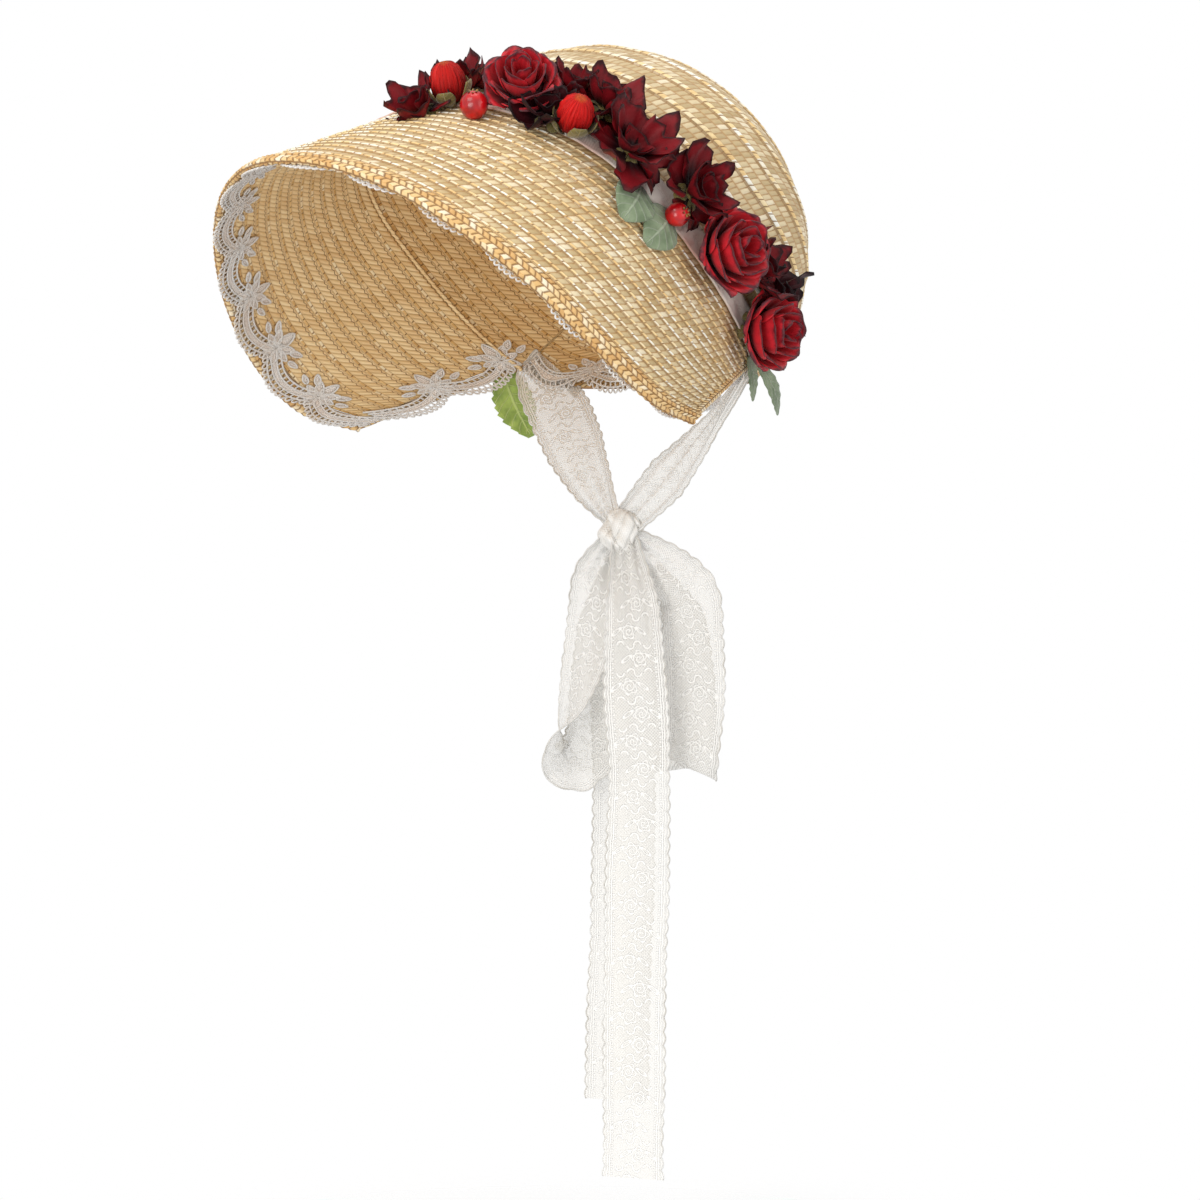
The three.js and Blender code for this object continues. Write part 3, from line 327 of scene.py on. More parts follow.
def brim_point(p, s):
    """Straight from the band loop (s 0) to the front edge (s 1); p runs along the rows, -1 to 1."""
    p, s = np.broadcast_arrays(np.asarray(p, float), np.asarray(s, float))
    edge = smooth_curve(edge_points, (p + 1) / 2)
    return (1 - s)[..., None] * band_loop(p * EAR_ANGLE) + s[..., None] * edge


def brim_out(p, s):
    """Outward direction: minus the cross of the two small steps on the surface."""
    p = np.clip(p, -0.99, 0.99)
    along = brim_point(p + 0.004, s) - brim_point(p - 0.004, s)
    across = brim_point(p, s + 0.01) - brim_point(p, s - 0.01)
    return -unit(np.cross(along, across))


def crown_point(degrees, share):
    """The band loop shrinks into the tip's ring, and both run up to the tip by a quarter turn."""
    degrees, share = np.broadcast_arrays(np.asarray(degrees, float), np.asarray(share, float))
    turn = share[..., None] * np.pi / 2
    deep = np.sin(turn) ** (2 / SHOULDER)
    wide = np.maximum(0, np.cos(turn)) ** (2 / SHOULDER)
    angle = np.radians(degrees)[..., None]
    ring = TIP_RADIUS * (np.cos(angle) * TIP_UP + np.sin(angle) * np.array([1.0, 0, 0]))
    return ((1 - deep) * band_loop(degrees) + deep * ring) * wide + TIP * deep


def crown_out(degrees, share):
    share = np.clip(share, 0.02, 0.96)
    along = crown_point(degrees + 0.5, share) - crown_point(degrees - 0.5, share)
    across = crown_point(degrees, share + 0.01) - crown_point(degrees, share - 0.01)
    return unit(np.cross(along, across))


def flat_map(first, second):
    """Pattern places from the two numbers, spread over one grid."""
    return np.stack(np.broadcast_arrays(first, second), -1)


def lengths(points, axis):
    """How far along a line of points each one lies."""
    steps = np.linalg.norm(np.diff(points, axis=axis), axis=-1)
    return np.concatenate([np.zeros_like(np.take(steps, [0], axis)), np.cumsum(steps, axis)], axis)


def crown_shares(degrees, distances):
    """Shares of the crown's profile that lie distances up it, for arrays of the same shape."""
    run = lengths(crown_point(degrees[:, None], PROFILE[None, :]), 1)
    return np.stack([np.interp(d, r, PROFILE) for d, r in zip(distances, run)])


def brim_depth(p):
    return np.linalg.norm(brim_point(p, 0.0) - brim_point(p, 1.0), axis=-1)


print("band width:", round(float(2 * band_loop(np.array([90.0]))[0, 0]), 1),
      "brim depth at the top:", round(float(brim_depth(np.array([0.0]))[0]), 1))

# %% [markdown]
# ## Straw
#
# A row of braid shows slanted cells of flat straw, and along its outer edge a twisted cord that
# catches the light, with a dark stitch between its dashes. Each row overlaps the next like a
# shingle. The same places drive the relief in the mesh and the colours in the finish: the first
# runs along the row in millimetres, the second counts the rows.

# %% Straw finishes
BRIM_CELL, BRIM_SLANT, CROWN_CELL, CROWN_LINES = 3.8, 0.5, 3.4, 2
INNER_CELL, INNER_SLANT = 3.4, -1.4
# In shares of a row: where its cells end, where its cord starts, and each next row's shift.
CELLS_END, CORD_START, ROW_SHIFT = 0.8, 0.77, 0.37
DASH, DASH_SHIFT, DASH_SLANT = 4.6, 0.21, 0.8
STRAW_DARK, STRAW_BROWN, STITCH = colour(140, 96, 50), colour(186, 142, 88), colour(128, 78, 32)


def straw_finish(name, cell, slant, lines, cells, cord, vary=0.75, soft=0.8, stitch=0, tinted=0):
    """Cells of one colour each with dark joints, and a dashed bright cord on the row's edge."""
    straw = Finish(name, Roughness=0.42, Specular_IOR_Level=0.55)
    u, v = straw.pattern()
    row = v.floor()
    t = v - row
    up_row = t * lines / CELLS_END
    split = up_row.floor().least(lines - 1.0)
    x = u / cell + t * slant + row * ROW_SHIFT + split * 0.5
    chance = straw.chance(x.floor() + split * 31.0, row)
    a, level = x.part(), up_row - split
    from_joint, from_seam = a.least(1 - a), level.least(1 - level)
    joint = from_joint.rise(0.0, 0.16)
    seam = from_seam.rise(0.0, 0.12).most((t - 0.79).rise(0.0, 0.02))
    pillow = from_joint.rise(0.0, 0.5) * from_seam.rise(0.0, 0.5)
    streak = straw.cloud(straw.vector(u * 3.0 + t * 6.0, v * 2.0), 1.6, 3.0)
    base = straw.ramp(chance * vary + streak * 0.25 + (0.375 - vary / 2), cells)
    corner = (1 - joint) * (1 - (level - 0.15).size().rise(0.05, 0.3))
    base = straw.blend(1 - (1 - joint * seam) * soft, STRAW_BROWN, base)
    base = straw.blend(corner * 0.7 * soft, base, STRAW_DARK)
    # Painted shade: each rounded cell is painted darker towards its edges, as if its sloping sides
    # were turned from the light.
    base = straw.blend((1 - pillow.rise(0.0, 0.3)) * 0.3 * soft, base, STRAW_BROWN)
    dashes = u / DASH + row * DASH_SHIFT
    from_dash = ((dashes + t * DASH_SLANT).part() - 0.5).size()
    on_cord = (t - CORD_START).rise(0.0, 0.03) * (1 - (t - 0.95).rise(0.0, 0.03))
    gleam = straw.chance(dashes.floor(), row + 7.0)
    strand = straw.ramp(gleam * 0.8 + streak * 0.2, cord)
    strand = straw.blend(from_dash.rise(0.38, 0.48), strand, STRAW_DARK)
    base = straw.blend(on_cord, base, strand)
    # Painted shadow: a dark line along both edges of each row, where it tucks under its neighbour;
    # weaker on the inside straw that carries the stitch.
    under = (t - 0.955).rise(0.0, 0.03).most(1 - t.rise(0.0, 0.05))
    base = straw.blend(under * (0.15 if stitch else 0.4), base, STRAW_DARK)
    if stitch:
        swing = ((u / 3.2).part() - 0.5).size() * 0.22
        thread = 1 - (t - 0.12 - swing).size().rise(0.015, 0.05)
        base = straw.blend(thread * stitch, base, STITCH)
    # Reddish patches on the brim's rows nearest the band, as strong as tinted asks.
    near_band_tint = (1 - v.size().rise(0.0, 1.8)) * straw.cloud(None, 26.0, 2.0).rise(0.45, 0.65)
    base = straw.blend(near_band_tint * tinted, base, colour(196, 112, 76))
    broad = straw.cloud(None, 18.0, 3.0)
    base = straw.blend((broad - 0.5).rise(0.0, 0.35) * 0.35, base, colour(196, 150, 88))
    straw.feed(Base_Color=base, Roughness=0.34 + streak * 0.3)
    on_cord = on_cord * (1 - from_dash.rise(0.3, 0.5)) * 0.7
    straw.relief(joint * seam * 0.4 + pillow * 0.8 + streak * 0.25 + on_cord, 0.35)
    return straw


OUTER = (stops((0.0, 184, 158, 110), (0.3, 204, 180, 134), (0.6, 218, 197, 154),
               (0.8, 234, 216, 176), (1.0, 255, 249, 230)),
         stops((0.0, 232, 190, 122), (0.4, 250, 224, 168), (0.8, 255, 253, 240)))
INNER = (stops((0.0, 214, 172, 116), (0.4, 238, 204, 148), (0.8, 250, 224, 174),
               (1.0, 255, 248, 224)),
         stops((0.0, 206, 156, 88), (0.6, 236, 196, 130), (1.0, 255, 244, 212)))
brim_straw = straw_finish("brim_straw", BRIM_CELL, BRIM_SLANT, 1, *OUTER, tinted=0.45)
crown_straw = straw_finish("crown_straw", CROWN_CELL, 0, CROWN_LINES, *OUTER)
inside_straw = straw_finish("inside_straw", INNER_CELL, INNER_SLANT, 1, *INNER, 0.45, 0.45, 0.85)


def rows_relief(u, v, cell, slant, lines, step, puff=0.35, cord=0.75):
    """Height over the straw's middle in mm: a shingle's rise, puffed cells and a dashed cord."""
    row = np.floor(v)
    t = v - row
    up_row = t * lines / CELLS_END
    split = np.minimum(np.floor(up_row), lines - 1)
    x = u / cell + slant * t + row * ROW_SHIFT + split * 0.5
    pillow = np.sqrt(np.abs(np.sin(np.pi * x)) * np.sin(np.pi * np.clip(up_row - split, 0, 1)))
    round_cord = np.sin(np.pi * np.clip((t - CORD_START) / 0.2, 0, 1))
    dash = u / DASH + row * DASH_SHIFT + t * DASH_SLANT
    round_cord = cord * round_cord * (0.6 + 0.4 * np.abs(np.sin(np.pi * dash)))
    return step * t + puff * pillow + round_cord


# %% [markdown]
# ## Brim and crown
#
# One grid covers the outside of each form and another its inside, a straw's thickness away, and
# the weld makes one closed shell of them. Rows are sampled closely at the cord and coarsely across
# the cells. Displacing the grid, and not only its shading, gives the silhouette its small steps.

# %% Brim
BRIM_ROWS, BRIM_CORDS, CROWN_ROWS, STEP, HALF_WALL = 12, 15, 10, 0.7, 0.8
ROW_STOPS = np.array([0.0, 0.2, 0.4, 0.6, 0.77, 0.84, 0.9, 0.975])
INNER_STOPS = np.array([0.0, 0.4, 0.77, 0.88])
GAP, SEAM, BRAID_WIDTH, BINDING = 0.3, 0.02, 10.0, 6.5


def row_places(rows, stops):
    return np.append((np.arange(rows)[:, None] + stops[None, :]).ravel(), rows - 0.001)


def straw_lift(base, v, side, *outer):
    """Height above the middle of the wall outside (side 1) or below it inside, and the pattern."""
    run = lengths(base, 0)
    u, v = run - run[len(run) // 2][None], np.broadcast_to(v[None, :], base.shape[:2])
    inner = (INNER_CELL, INNER_SLANT, 1, 0.0, 0.2, 0.35)
    lift = side * (HALF_WALL + rows_relief(u, v, *(outer if side > 0 else inner)))
    return lift, np.stack([u, v], -1)


end_step = BINDING / np.linalg.norm(brim_point(1.0, 0.5) - brim_point(0.9, 0.5)) * 0.1
p = np.linspace(-1 + end_step * 1.05, 1 - end_step * 1.05, 560)
first_s, last_s = SEAM / brim_depth(p), 1 - (BRAID_WIDTH + GAP) / brim_depth(p)


def brim_grid(places, side, rows):
    """Outside (side 1) or inside (side -1) of the brim at row places, with its pattern places."""
    s = first_s[:, None] + (last_s - first_s)[:, None] * places[None, :] / rows
    base = brim_point(p[:, None], s)
    lift, pattern = straw_lift(base, places, side, BRIM_CELL, BRIM_SLANT, 1, STEP, 0.5)
    return base + brim_out(p[:, None], s) * lift[..., None], pattern


outside, outside_map = brim_grid(row_places(BRIM_CORDS, ROW_STOPS), 1, BRIM_CORDS)
inside, inside_map = brim_grid(row_places(BRIM_ROWS, INNER_STOPS)[::-1], -1, BRIM_ROWS)
inside = np.concatenate([outside[:, -1:], inside, outside[:, :1]], 1)
inside_map = np.concatenate([inside_map[:, :1], inside_map, inside_map[:, -1:]], 1)
piece("straw_brim", [(outside, outside_map, 0), (inside, inside_map, 1)],
      [brim_straw, inside_straw], "brim")

# %% Crown
angles = np.linspace(-180, 180, 501)
crown_run = lengths(crown_point(angles[:, None], PROFILE[None, :]), 1)[:, -1]
nape = np.abs(angles) >= EAR_ANGLE - 0.01
start = np.where(nape, BINDING + GAP, SEAM)


def crown_grid(places, side, rows=1):
    """As the brim, but each row is a ring, which may be split, and all close on the tip."""
    reach = start[:, None] + (crown_run - start)[:, None] * places[None, :] / CROWN_ROWS
    share = crown_shares(angles, reach)
    base, fade = crown_point(angles[:, None], share), np.clip((CROWN_ROWS - places) / 0.6, 0, 1)
    lift, pattern = straw_lift(base, (CROWN_ROWS - places) * rows, side,
                               CROWN_CELL, 0.0, CROWN_LINES, STEP)
    lift = lift * fade + side * HALF_WALL * (1 - fade)
    return base + crown_out(angles[:, None], share) * lift[..., None], pattern


outer_places = CROWN_ROWS - row_places(CROWN_ROWS, ROW_STOPS)
outer_places[0] = CROWN_ROWS - 1e-3
inner_places = (CROWN_ROWS - row_places(2 * CROWN_ROWS, INNER_STOPS) / 2)[::-1]
inner_places[-1] = CROWN_ROWS - 1e-3
dome, dome_map = crown_grid(outer_places, 1)
hollow, hollow_map = crown_grid(inner_places, -1, 2)
for grid, end, side in ((dome, 0, 1), (hollow, -1, -1)):
    grid[:, end] = TIP + TIP_AWAY * side * HALF_WALL
    grid[-1] = grid[0]
hollow = np.concatenate([dome[:, -1:], hollow], 1)
hollow_map = np.concatenate([hollow_map[:, :1], hollow_map], 1)
piece("straw_crown", [(dome, dome_map, 0), (hollow, hollow_map, 1)],
      [crown_straw, inside_straw], "crown")

# %% [markdown]
# ## Plaits
#
# The brim's edge is a chunky plait with a thin twisted cord sewn outside it, and narrower plaits
# bind the lower ends and the nape. A plait is a closed strip: across it one turn goes over the top
# and back underneath, and along it lie lanes of short rounded strands, each lane slanted the other
# way from its neighbour.

# %% Plaits
def plait_finish(name, pitch, lanes, tones, brown):
    """Short rounded strands in lanes that slant to and fro, each of its own tone, brown between."""
    plait = Finish(name, Roughness=0.4, Specular_IOR_Level=0.55)
    u, v = plait.pattern()
    lane = (v * lanes * 0.9999).floor()
    t = v * lanes - lane
    sign = 1 - (lane * 0.5).part() * 4
    x = u / pitch + lane * 0.5 + (t - 0.5) * sign * PLAIT_SLANT
    chance = plait.chance(x.floor(), lane + 3.0)
    a = x.part()
    joint = a.least(1 - a).rise(0.0, 0.2) * t.least(1 - t).rise(0.0, 0.16)
    streak = plait.cloud(plait.vector(u * 1.5 + t * 3.0, v * 14.0), 2.0, 3.0)
    base = plait.ramp(chance * 0.75 + streak * 0.25, tones)
    base = plait.blend(0.15 + joint * 0.85, brown, base)
    plait.feed(Base_Color=base, Roughness=0.3 + streak * 0.3)
    plait.relief(joint + streak * 0.3, 0.5)
    return plait


EDGE_TONES = stops((0.0, 206, 154, 88), (0.35, 226, 184, 120), (0.7, 240, 210, 156),
                   (1.0, 255, 250, 232))
PLAIT_SLANT, EDGE_PITCH, EDGE_LANES, END_PITCH, END_LANES, END_LENGTH = 0.55, 3.6, 3, 3.4, 2, 96
edge_plait = plait_finish("edge_plait", EDGE_PITCH, EDGE_LANES, EDGE_TONES, colour(150, 100, 48))
end_plait = plait_finish("end_plait", END_PITCH, END_LANES, EDGE_TONES, colour(140, 90, 42))


def plait(place, u, pitch=END_PITCH, lanes=END_LANES, height=1.1, under=0.8, swell=0.5, turns=20):
    """Closed strip: place(w) gives points and outward directions for w from -1 to 1 across."""
    angle = np.linspace(0, 2 * np.pi, turns + 1)
    w = -np.cos(angle)
    top = np.sin(angle) >= 0
    base, out = place(w)
    arch = np.abs(np.sin(angle)) ** 0.6
    v = (w + 1) / 2
    lane = np.minimum(np.floor(lanes * v), lanes - 1)
    t = lanes * v - lane
    x = u[:, None] / pitch + (lane * 0.5 + (t - 0.5) * (1 - 2 * (lane % 2)) * PLAIT_SLANT)[None, :]
    ridge = np.sqrt(np.abs(np.sin(np.pi * x)) * np.sin(np.pi * np.clip(t, 0, 1))[None, :])
    over = (height + swell * ridge) * arch
    below = (under + 0.3 * swell * ridge) * arch
    lift = np.where(top[None, :], over, -below)
    return base + out * lift[..., None], flat_map(u[:, None], v)


edge_p = np.linspace(-1, 1, 861)
edge_run = lengths(brim_point(edge_p, 1.0), 0)
depth = brim_depth(edge_p)


def edge_strip(w):
    s = 1 - (BRAID_WIDTH / 2 * (1 - w))[None, :] / depth[:, None]
    return brim_point(edge_p[:, None], s), brim_out(edge_p[:, None], np.minimum(s, 0.98))


edge_surface = plait(edge_strip, edge_run, EDGE_PITCH, EDGE_LANES, 1.6, 0.75, 1.0, 36)
piece("edge_plait", [(*edge_surface, 0)], [edge_plait], "edge_braid")
end_run = np.linspace(0, 1, 220)
for name, side in (("near", 1), ("far", -1)):
    def end_strip(w):
        at = side * (1 - end_step * (1 - w) / 2)[None, :] + 0 * end_run[:, None]
        low, high = GAP / 2 / brim_depth(at), 1 - (BRAID_WIDTH + GAP) / brim_depth(at)
        s = low + (high - low) * end_run[:, None]
        return brim_point(at, s), brim_out(at, s)

    end_surface = plait(end_strip, end_run * END_LENGTH)
    piece(f"end_plait_{name}", [(*end_surface, 0)], [end_plait], f"end_binding_{name}")

nape_angles = np.linspace(EAR_ANGLE, 360 - EAR_ANGLE, 300)
nape_run = lengths(band_loop(nape_angles), 0)


def nape_strip(w):
    reach = np.broadcast_to(BINDING * (w + 1) / 2, (len(nape_angles), len(w)))
    share = crown_shares(nape_angles, reach)
    return crown_point(nape_angles[:, None], share), crown_out(nape_angles[:, None], share)


piece("nape_plait", [(*plait(nape_strip, nape_run), 0)], [end_plait], "nape_binding")

# %% [markdown]
# ## Cords
#
# Lace, borders and the edge's outermost row are all cords. A cord is a ring carried along a path:
# the ring stands across the path's direction, and it shrinks to a point at both ends, so that the
# weld closes it. Many paths of one length are carried at once.

# %% Cords
def cords(paths, normals, radius, sides=5):
    """Rings of the given radius round paths [..., n, 3], turned to the normals."""
    ahead = unit(np.gradient(paths, axis=-2))
    aside = unit(np.cross(ahead, normals))
    top = np.cross(aside, ahead)
    angle = np.linspace(0, 2 * np.pi, sides + 1)[:, None]
    rings = radius * (np.cos(angle) * aside[..., None, :] + np.sin(angle) * top[..., None, :])
    body = paths[..., None, :] + rings
    shape = (*paths.shape[:-2], 1, sides + 1, 3)
    first = np.broadcast_to(paths[..., :1, None, :], shape)
    last = np.broadcast_to(paths[..., -1:, None, :], shape)
    return np.concatenate([first, body, last], -3)


def twisted_cord(paths, normals, radius, sides=8):
    """A cord of two strands: its radius swells twice round the ring and turns along the path."""
    rings = cords(paths, normals, radius, sides)
    run = np.concatenate([[0], lengths(paths, 0), [0]])
    angle = np.linspace(0, 2 * np.pi, sides + 1)
    swell = 1 + 0.22 * np.cos(2 * angle[None, :] - 2 * np.pi * run[:, None] / CORD_PITCH)
    middle = np.concatenate([paths[:1], paths, paths[-1:]])[:, None]
    pattern = flat_map(run[:, None], angle[None, :] / (2 * np.pi))
    return middle + (rings - middle) * swell[..., None], pattern


CORD_PITCH, EDGE_CORD, EDGE_CORD_IN, JOIN_CORD, JOIN_CORD_IN = 4.4, 1.45, 0.4, 1.0, 1.3
edge_line = brim_point(edge_p, 1 - EDGE_CORD_IN / depth)
edge_cord = twisted_cord(edge_line, brim_out(edge_p, 0.98), EDGE_CORD)
piece("edge_cord", [(*edge_cord, 0)], [end_plait])
join_angles = np.linspace(-EAR_ANGLE, EAR_ANGLE, 500)
join_in = -unit(brim_out(join_angles / EAR_ANGLE, 0.02) + crown_out(join_angles, 0.02))
join_cord = twisted_cord(band_loop(join_angles) + join_in * JOIN_CORD_IN, join_in, JOIN_CORD)
piece("join_cord", [(*join_cord, 0)], [inside_straw])

# %% [markdown]
# ## Band
#
# A whitish cloth band covers the join of brim and crown and carries the flowers. It is a thin strip
# that follows the brim on one side of the join and the crown on the other, with small puckers.

# %% Band
def cloth_finish(name, light, shade, weave):
    """Plain woven cloth: two crossing waves of threads, with soft stains."""
    cloth = Finish(name, Roughness=0.85, Sheen_Weight=0.25)
    u, v = cloth.pattern()
    threads = (u * (2 * math.pi / weave)).sine() * (v * (2 * math.pi / weave)).sine()
    stain = cloth.cloud(None, 60.0, 3.0)
    base = cloth.blend(stain.rise(0.35, 0.7), light, shade)
    cloth.feed(Base_Color=base)
    cloth.relief(threads, 0.12)
    return cloth


band_cloth = cloth_finish("band_cloth", colour(240, 230, 220), colour(222, 176, 160), 0.9)
BAND_WIDTH, ON_BRIM, BAND_OVER, BAND_UNDER = 14.0, 0.5, 2.9, 2.0
band_angles = np.linspace(-1, 1, 480) * EAR_ANGLE * 0.985
across = np.linspace(-ON_BRIM, 1 - ON_BRIM, 15) * BAND_WIDTH


def band_place(lift):
    """Points across the join: on the brim where across is below 0, on the crown above it."""
    at = band_angles[:, None]
    s = np.maximum(0, -across)[None, :] / brim_depth(at / EAR_ANGLE)
    share = crown_shares(band_angles, np.maximum(0, across)[None, :] + 0 * at)
    on_brim = (across < 0)[None, :, None]
    base = np.where(on_brim, brim_point(at / EAR_ANGLE, s), crown_point(at, share))
    both = unit(brim_out(at / EAR_ANGLE, s + 0.02) + crown_out(at, share))
    own = np.where(on_brim, brim_out(at / EAR_ANGLE, s), crown_out(at, share))
    near = np.clip(1 - np.abs(across) / 3, 0, 1)[None, :, None]
    return base + unit(own * (1 - near) + both * near) * lift[..., None]


band_run = lengths(band_loop(band_angles), 0)
pucker = 0.3 * np.sin(band_run[:, None] / 2.1 + across[None, :] * 0.5)
pucker = pucker * np.cos(across[None, :] * 0.3)
band_map = flat_map(band_run[:, None], across[None, :])
top_side, under_side = band_place(BAND_OVER + pucker), band_place(BAND_UNDER + pucker)
rims = [(top_side[0], under_side[0]), (top_side[-1], under_side[-1]),
        (top_side[:, 0], under_side[:, 0]), (top_side[:, -1], under_side[:, -1])]
rim = [(np.stack(pair), None, 0) for pair in rims]
piece("hat_band_cloth", [(top_side, band_map, 0), (under_side, band_map, 0), *rim],
      [band_cloth], "hat_band")

# %% [markdown]
# ## Lace inside the edge
#
# The trim is guipure lace: thick embroidered cords with nothing between them. Each scallop has four
# arcs, a filled strip between the inner two, bars like a ladder on both sides, small loops outside
# and a cluster of pointed petals at the joint. Everything is drawn flat, in millimetres along the
# edge and inwards from it, for all scallops at once, and then laid on the inside of the brim.

# %% Lace places
SCALLOPS, END_SCALLOPS, NAPE_SCALLOPS, END_START = 14, 2, 2, 14.0
LACE_OFF, LACE_BELOW, OVER_STRAP = 1.6, 3.0, 3.0
SKY = np.array([0.0, 0.0, 1.0])
pitch = edge_run[-1] * 0.992 / SCALLOPS
half = pitch / 2
edge_middles = edge_run[-1] * 0.004 + pitch * (np.arange(SCALLOPS) + 0.5)
end_middles = END_START + pitch * (np.arange(END_SCALLOPS + NAPE_SCALLOPS) + 0.5)


def lace_on_edge(x, y, lift):
    """Point and inward direction x along the front edge, y in from it, lift above the straw."""
    p_at = np.interp(x, edge_run, edge_p)
    s = 1 - y / brim_depth(p_at)
    inward = -brim_out(p_at, np.clip(s, 0.02, 0.98))
    return brim_point(p_at, s) + inward * (1.5 + lift), inward


def lace_on_end(side):
    """As above along a lower end: x from its front corner, y in from it, the loops below it."""
    def place(x, y, lift):
        s = 1 - x / brim_depth(float(side))
        rim, near = brim_point(side * 1.0, s), brim_point(side * 0.95, s)
        step = np.linalg.norm(rim - near, axis=-1)
        y = y - LACE_BELOW
        p_at = side * (1 - 0.05 * np.maximum(y, 0) / step)
        inward = -brim_out(p_at, np.clip(s, 0.02, 0.98))
        below = unit(rim - near) * np.maximum(-y, 0)[..., None]
        return brim_point(p_at, s) + below + inward * (LACE_OFF + lift), inward
    return place


def lace_on_nape(side):
    """As above along a side of the nape, x from the front corner, over the strap's seat."""
    def place(x, y, lift):
        past, y = x - brim_depth(float(side)), y - LACE_BELOW
        flat = side * np.interp(past, nape_run, nape_angles).ravel()
        share = crown_shares(flat, np.maximum(y, 0).ravel()[:, None])
        base = crown_point(flat[:, None], share).reshape(*x.shape, 3)
        inward = -crown_out(flat[:, None], share).reshape(*x.shape, 3)
        over = LACE_OFF + OVER_STRAP * np.clip((past + 6.0) / 8.0, 0, 1) + lift
        return base + SKY * np.minimum(y, 0)[..., None] + inward * over[..., None], inward
    return place


def petal_outline(length, width, turns):
    """A closed pointed loop: along grows as sin squared, across narrows towards the tip."""
    half_angle = np.linspace(0, np.pi, turns)
    lean = np.cos(half_angle)
    wide = 1.1 * width * np.sin(half_angle) * lean * np.sqrt(np.abs(lean))
    return length * np.sin(half_angle) ** 2, wide


def shell(points, inward, wall, pattern=None, slot=1):
    """Both faces of thin patches and the strips between their rims, as closed forms."""
    under = points - inward * wall
    flat = np.broadcast_to(0.0 if pattern is None else pattern, (*points.shape[:-1], 2))
    grids, every = [(points, flat, slot), (under, flat, slot)], slice(None)
    for rim in ((0, every), (-1, every), (every, 0), (every, -1)):
        place = (..., *rim, every)
        rim_map = np.stack([flat[place]] * 2, -2)
        grids.append((np.stack([points[place], under[place]], -2), rim_map, slot))
    return grids


# The depths of the four arcs beside the middle one, and their radii.
ARCS = ((-4.4, 0.5), (-1.6, 0.45), (1.6, 0.45), (4.4, 0.5))
JOINT_DEPTH = 12.5
# Each row: place from the joint of two scallops, inwards from the edge, angle, length, width, gap.
PETALS = [[0, JOINT_DEPTH, angle, length, width, 1.2] for angle, length, width in (
    (90, 10.8, 5.0), (46, 8.8, 4.4), (134, 8.8, 4.4), (4, 7.6, 3.8), (176, 7.6, 3.8),
    (-48, 7.2, 3.6), (228, 7.2, 3.6), (270, 7.4, 3.6))]
LEAVES = [[-6.2, 17.2, 142, 6.4, 3.2, 0], [6.2, 17.2, 38, 6.4, 3.2, 0],
          [-9.8, 13.6, 160, 5.6, 2.8, 0], [9.8, 13.6, 20, 5.6, 2.8, 0]]


def arc(x):
    return 4.2 + 7.5 * (x / half) ** 2


def lace_grids(place, middles):
    """The whole drawing round each scallop's middle: arcs, bars, loops, filled strip and petals."""
    middles = middles[:, None, None]

    def thread(x, y, radius, lift=0.3):
        points, inward = place(middles + x[None], y[None] + 0 * middles, lift)
        return cords(points, inward, radius), None, 0

    def patch(x, y, lift, wall):
        deep = middles[..., None]
        points, inward = place(deep + x[None], y[None] + 0 * deep, lift)
        return shell(points, inward, wall)

    x = np.linspace(-half, half, 25)
    grids = [thread(x[None], (arc(x) + offset)[None], radius) for offset, radius in ARCS]
    bars = np.linspace(-half * 0.86, half * 0.86, 12)[:, None]
    share = np.linspace(0, 1, 3)[None, :]
    for (low, _), (high, _) in (ARCS[:2], ARCS[2:]):
        grids.append(thread(bars + 0 * share, arc(bars) + low + (high - low) * share, 0.42, 0.2))
    loops = np.linspace(-half * 0.9, half * 0.9, 12)[:, None]
    swing = np.linspace(0, np.pi, 7)[None, :]
    grids.append(thread(loops + 1.3 * np.cos(swing), arc(loops) - 4.5 - 2.8 * np.sin(swing), 0.45))
    strip_x, strip_y = np.meshgrid(x, np.linspace(-1.6, 1.6, 3), indexing="ij")
    grids += patch(strip_x[None], (arc(strip_x) + strip_y)[None], 0.2, 0.5)
    fills = []
    for at, deep, angle, length, width, gap in PETALS + LEAVES:
        cos, sin = math.cos(math.radians(angle)), math.sin(math.radians(angle))

        def turned(along, aside):
            along = gap + along
            return half + at + along * cos - aside * sin, deep + along * sin + aside * cos

        rim_x, rim_y = turned(*petal_outline(length, width, 13))
        grids.append(thread(rim_x[None], rim_y[None], 0.48))
        share = np.linspace(0.04, 0.96, 6)[:, None]
        wide = 1.1 * width * np.sqrt(share) * (1 - share) ** 0.75 * np.array([[-1.0, 0, 1.0]])
        fills.append(turned(share * length, wide))
    ring = np.linspace(0, 2 * np.pi, 9)
    ring_x, ring_y = half + 1.1 * np.cos(ring), JOINT_DEPTH + 1.1 * np.sin(ring)
    grids.append(thread(ring_x[None], ring_y[None], 0.5))
    fill_x, fill_y = (np.stack(part) for part in zip(*fills))
    return grids + patch(fill_x, fill_y, 0.12, 0.4)


# %% Lace finish and piece
def thread_finish(name, light, shade, pitch_mm, netted=False):
    """Embroidery thread: fine slanted ridges. Netted thread is clear between its ridges."""
    thread = Finish(name, Roughness=0.8, Sheen_Weight=0.45)
    place = thread.node("ShaderNodeTexCoord").outputs["Object"]
    x, y, z = thread.split(place)
    turns = 2 * math.pi / (pitch_mm * MM)
    ridge = ((x + y + z) * turns).sine() * ((x - y + z) * turns).sine()
    stain = thread.cloud(place, 45.0, 3.0)
    thread.feed(Base_Color=thread.blend(stain.rise(0.3, 0.7), light, shade))
    thread.relief(ridge, 0.15)
    if netted:
        thread.feed(Alpha=ridge.size().rise(0.06, 0.22).most(0.35))
    return thread


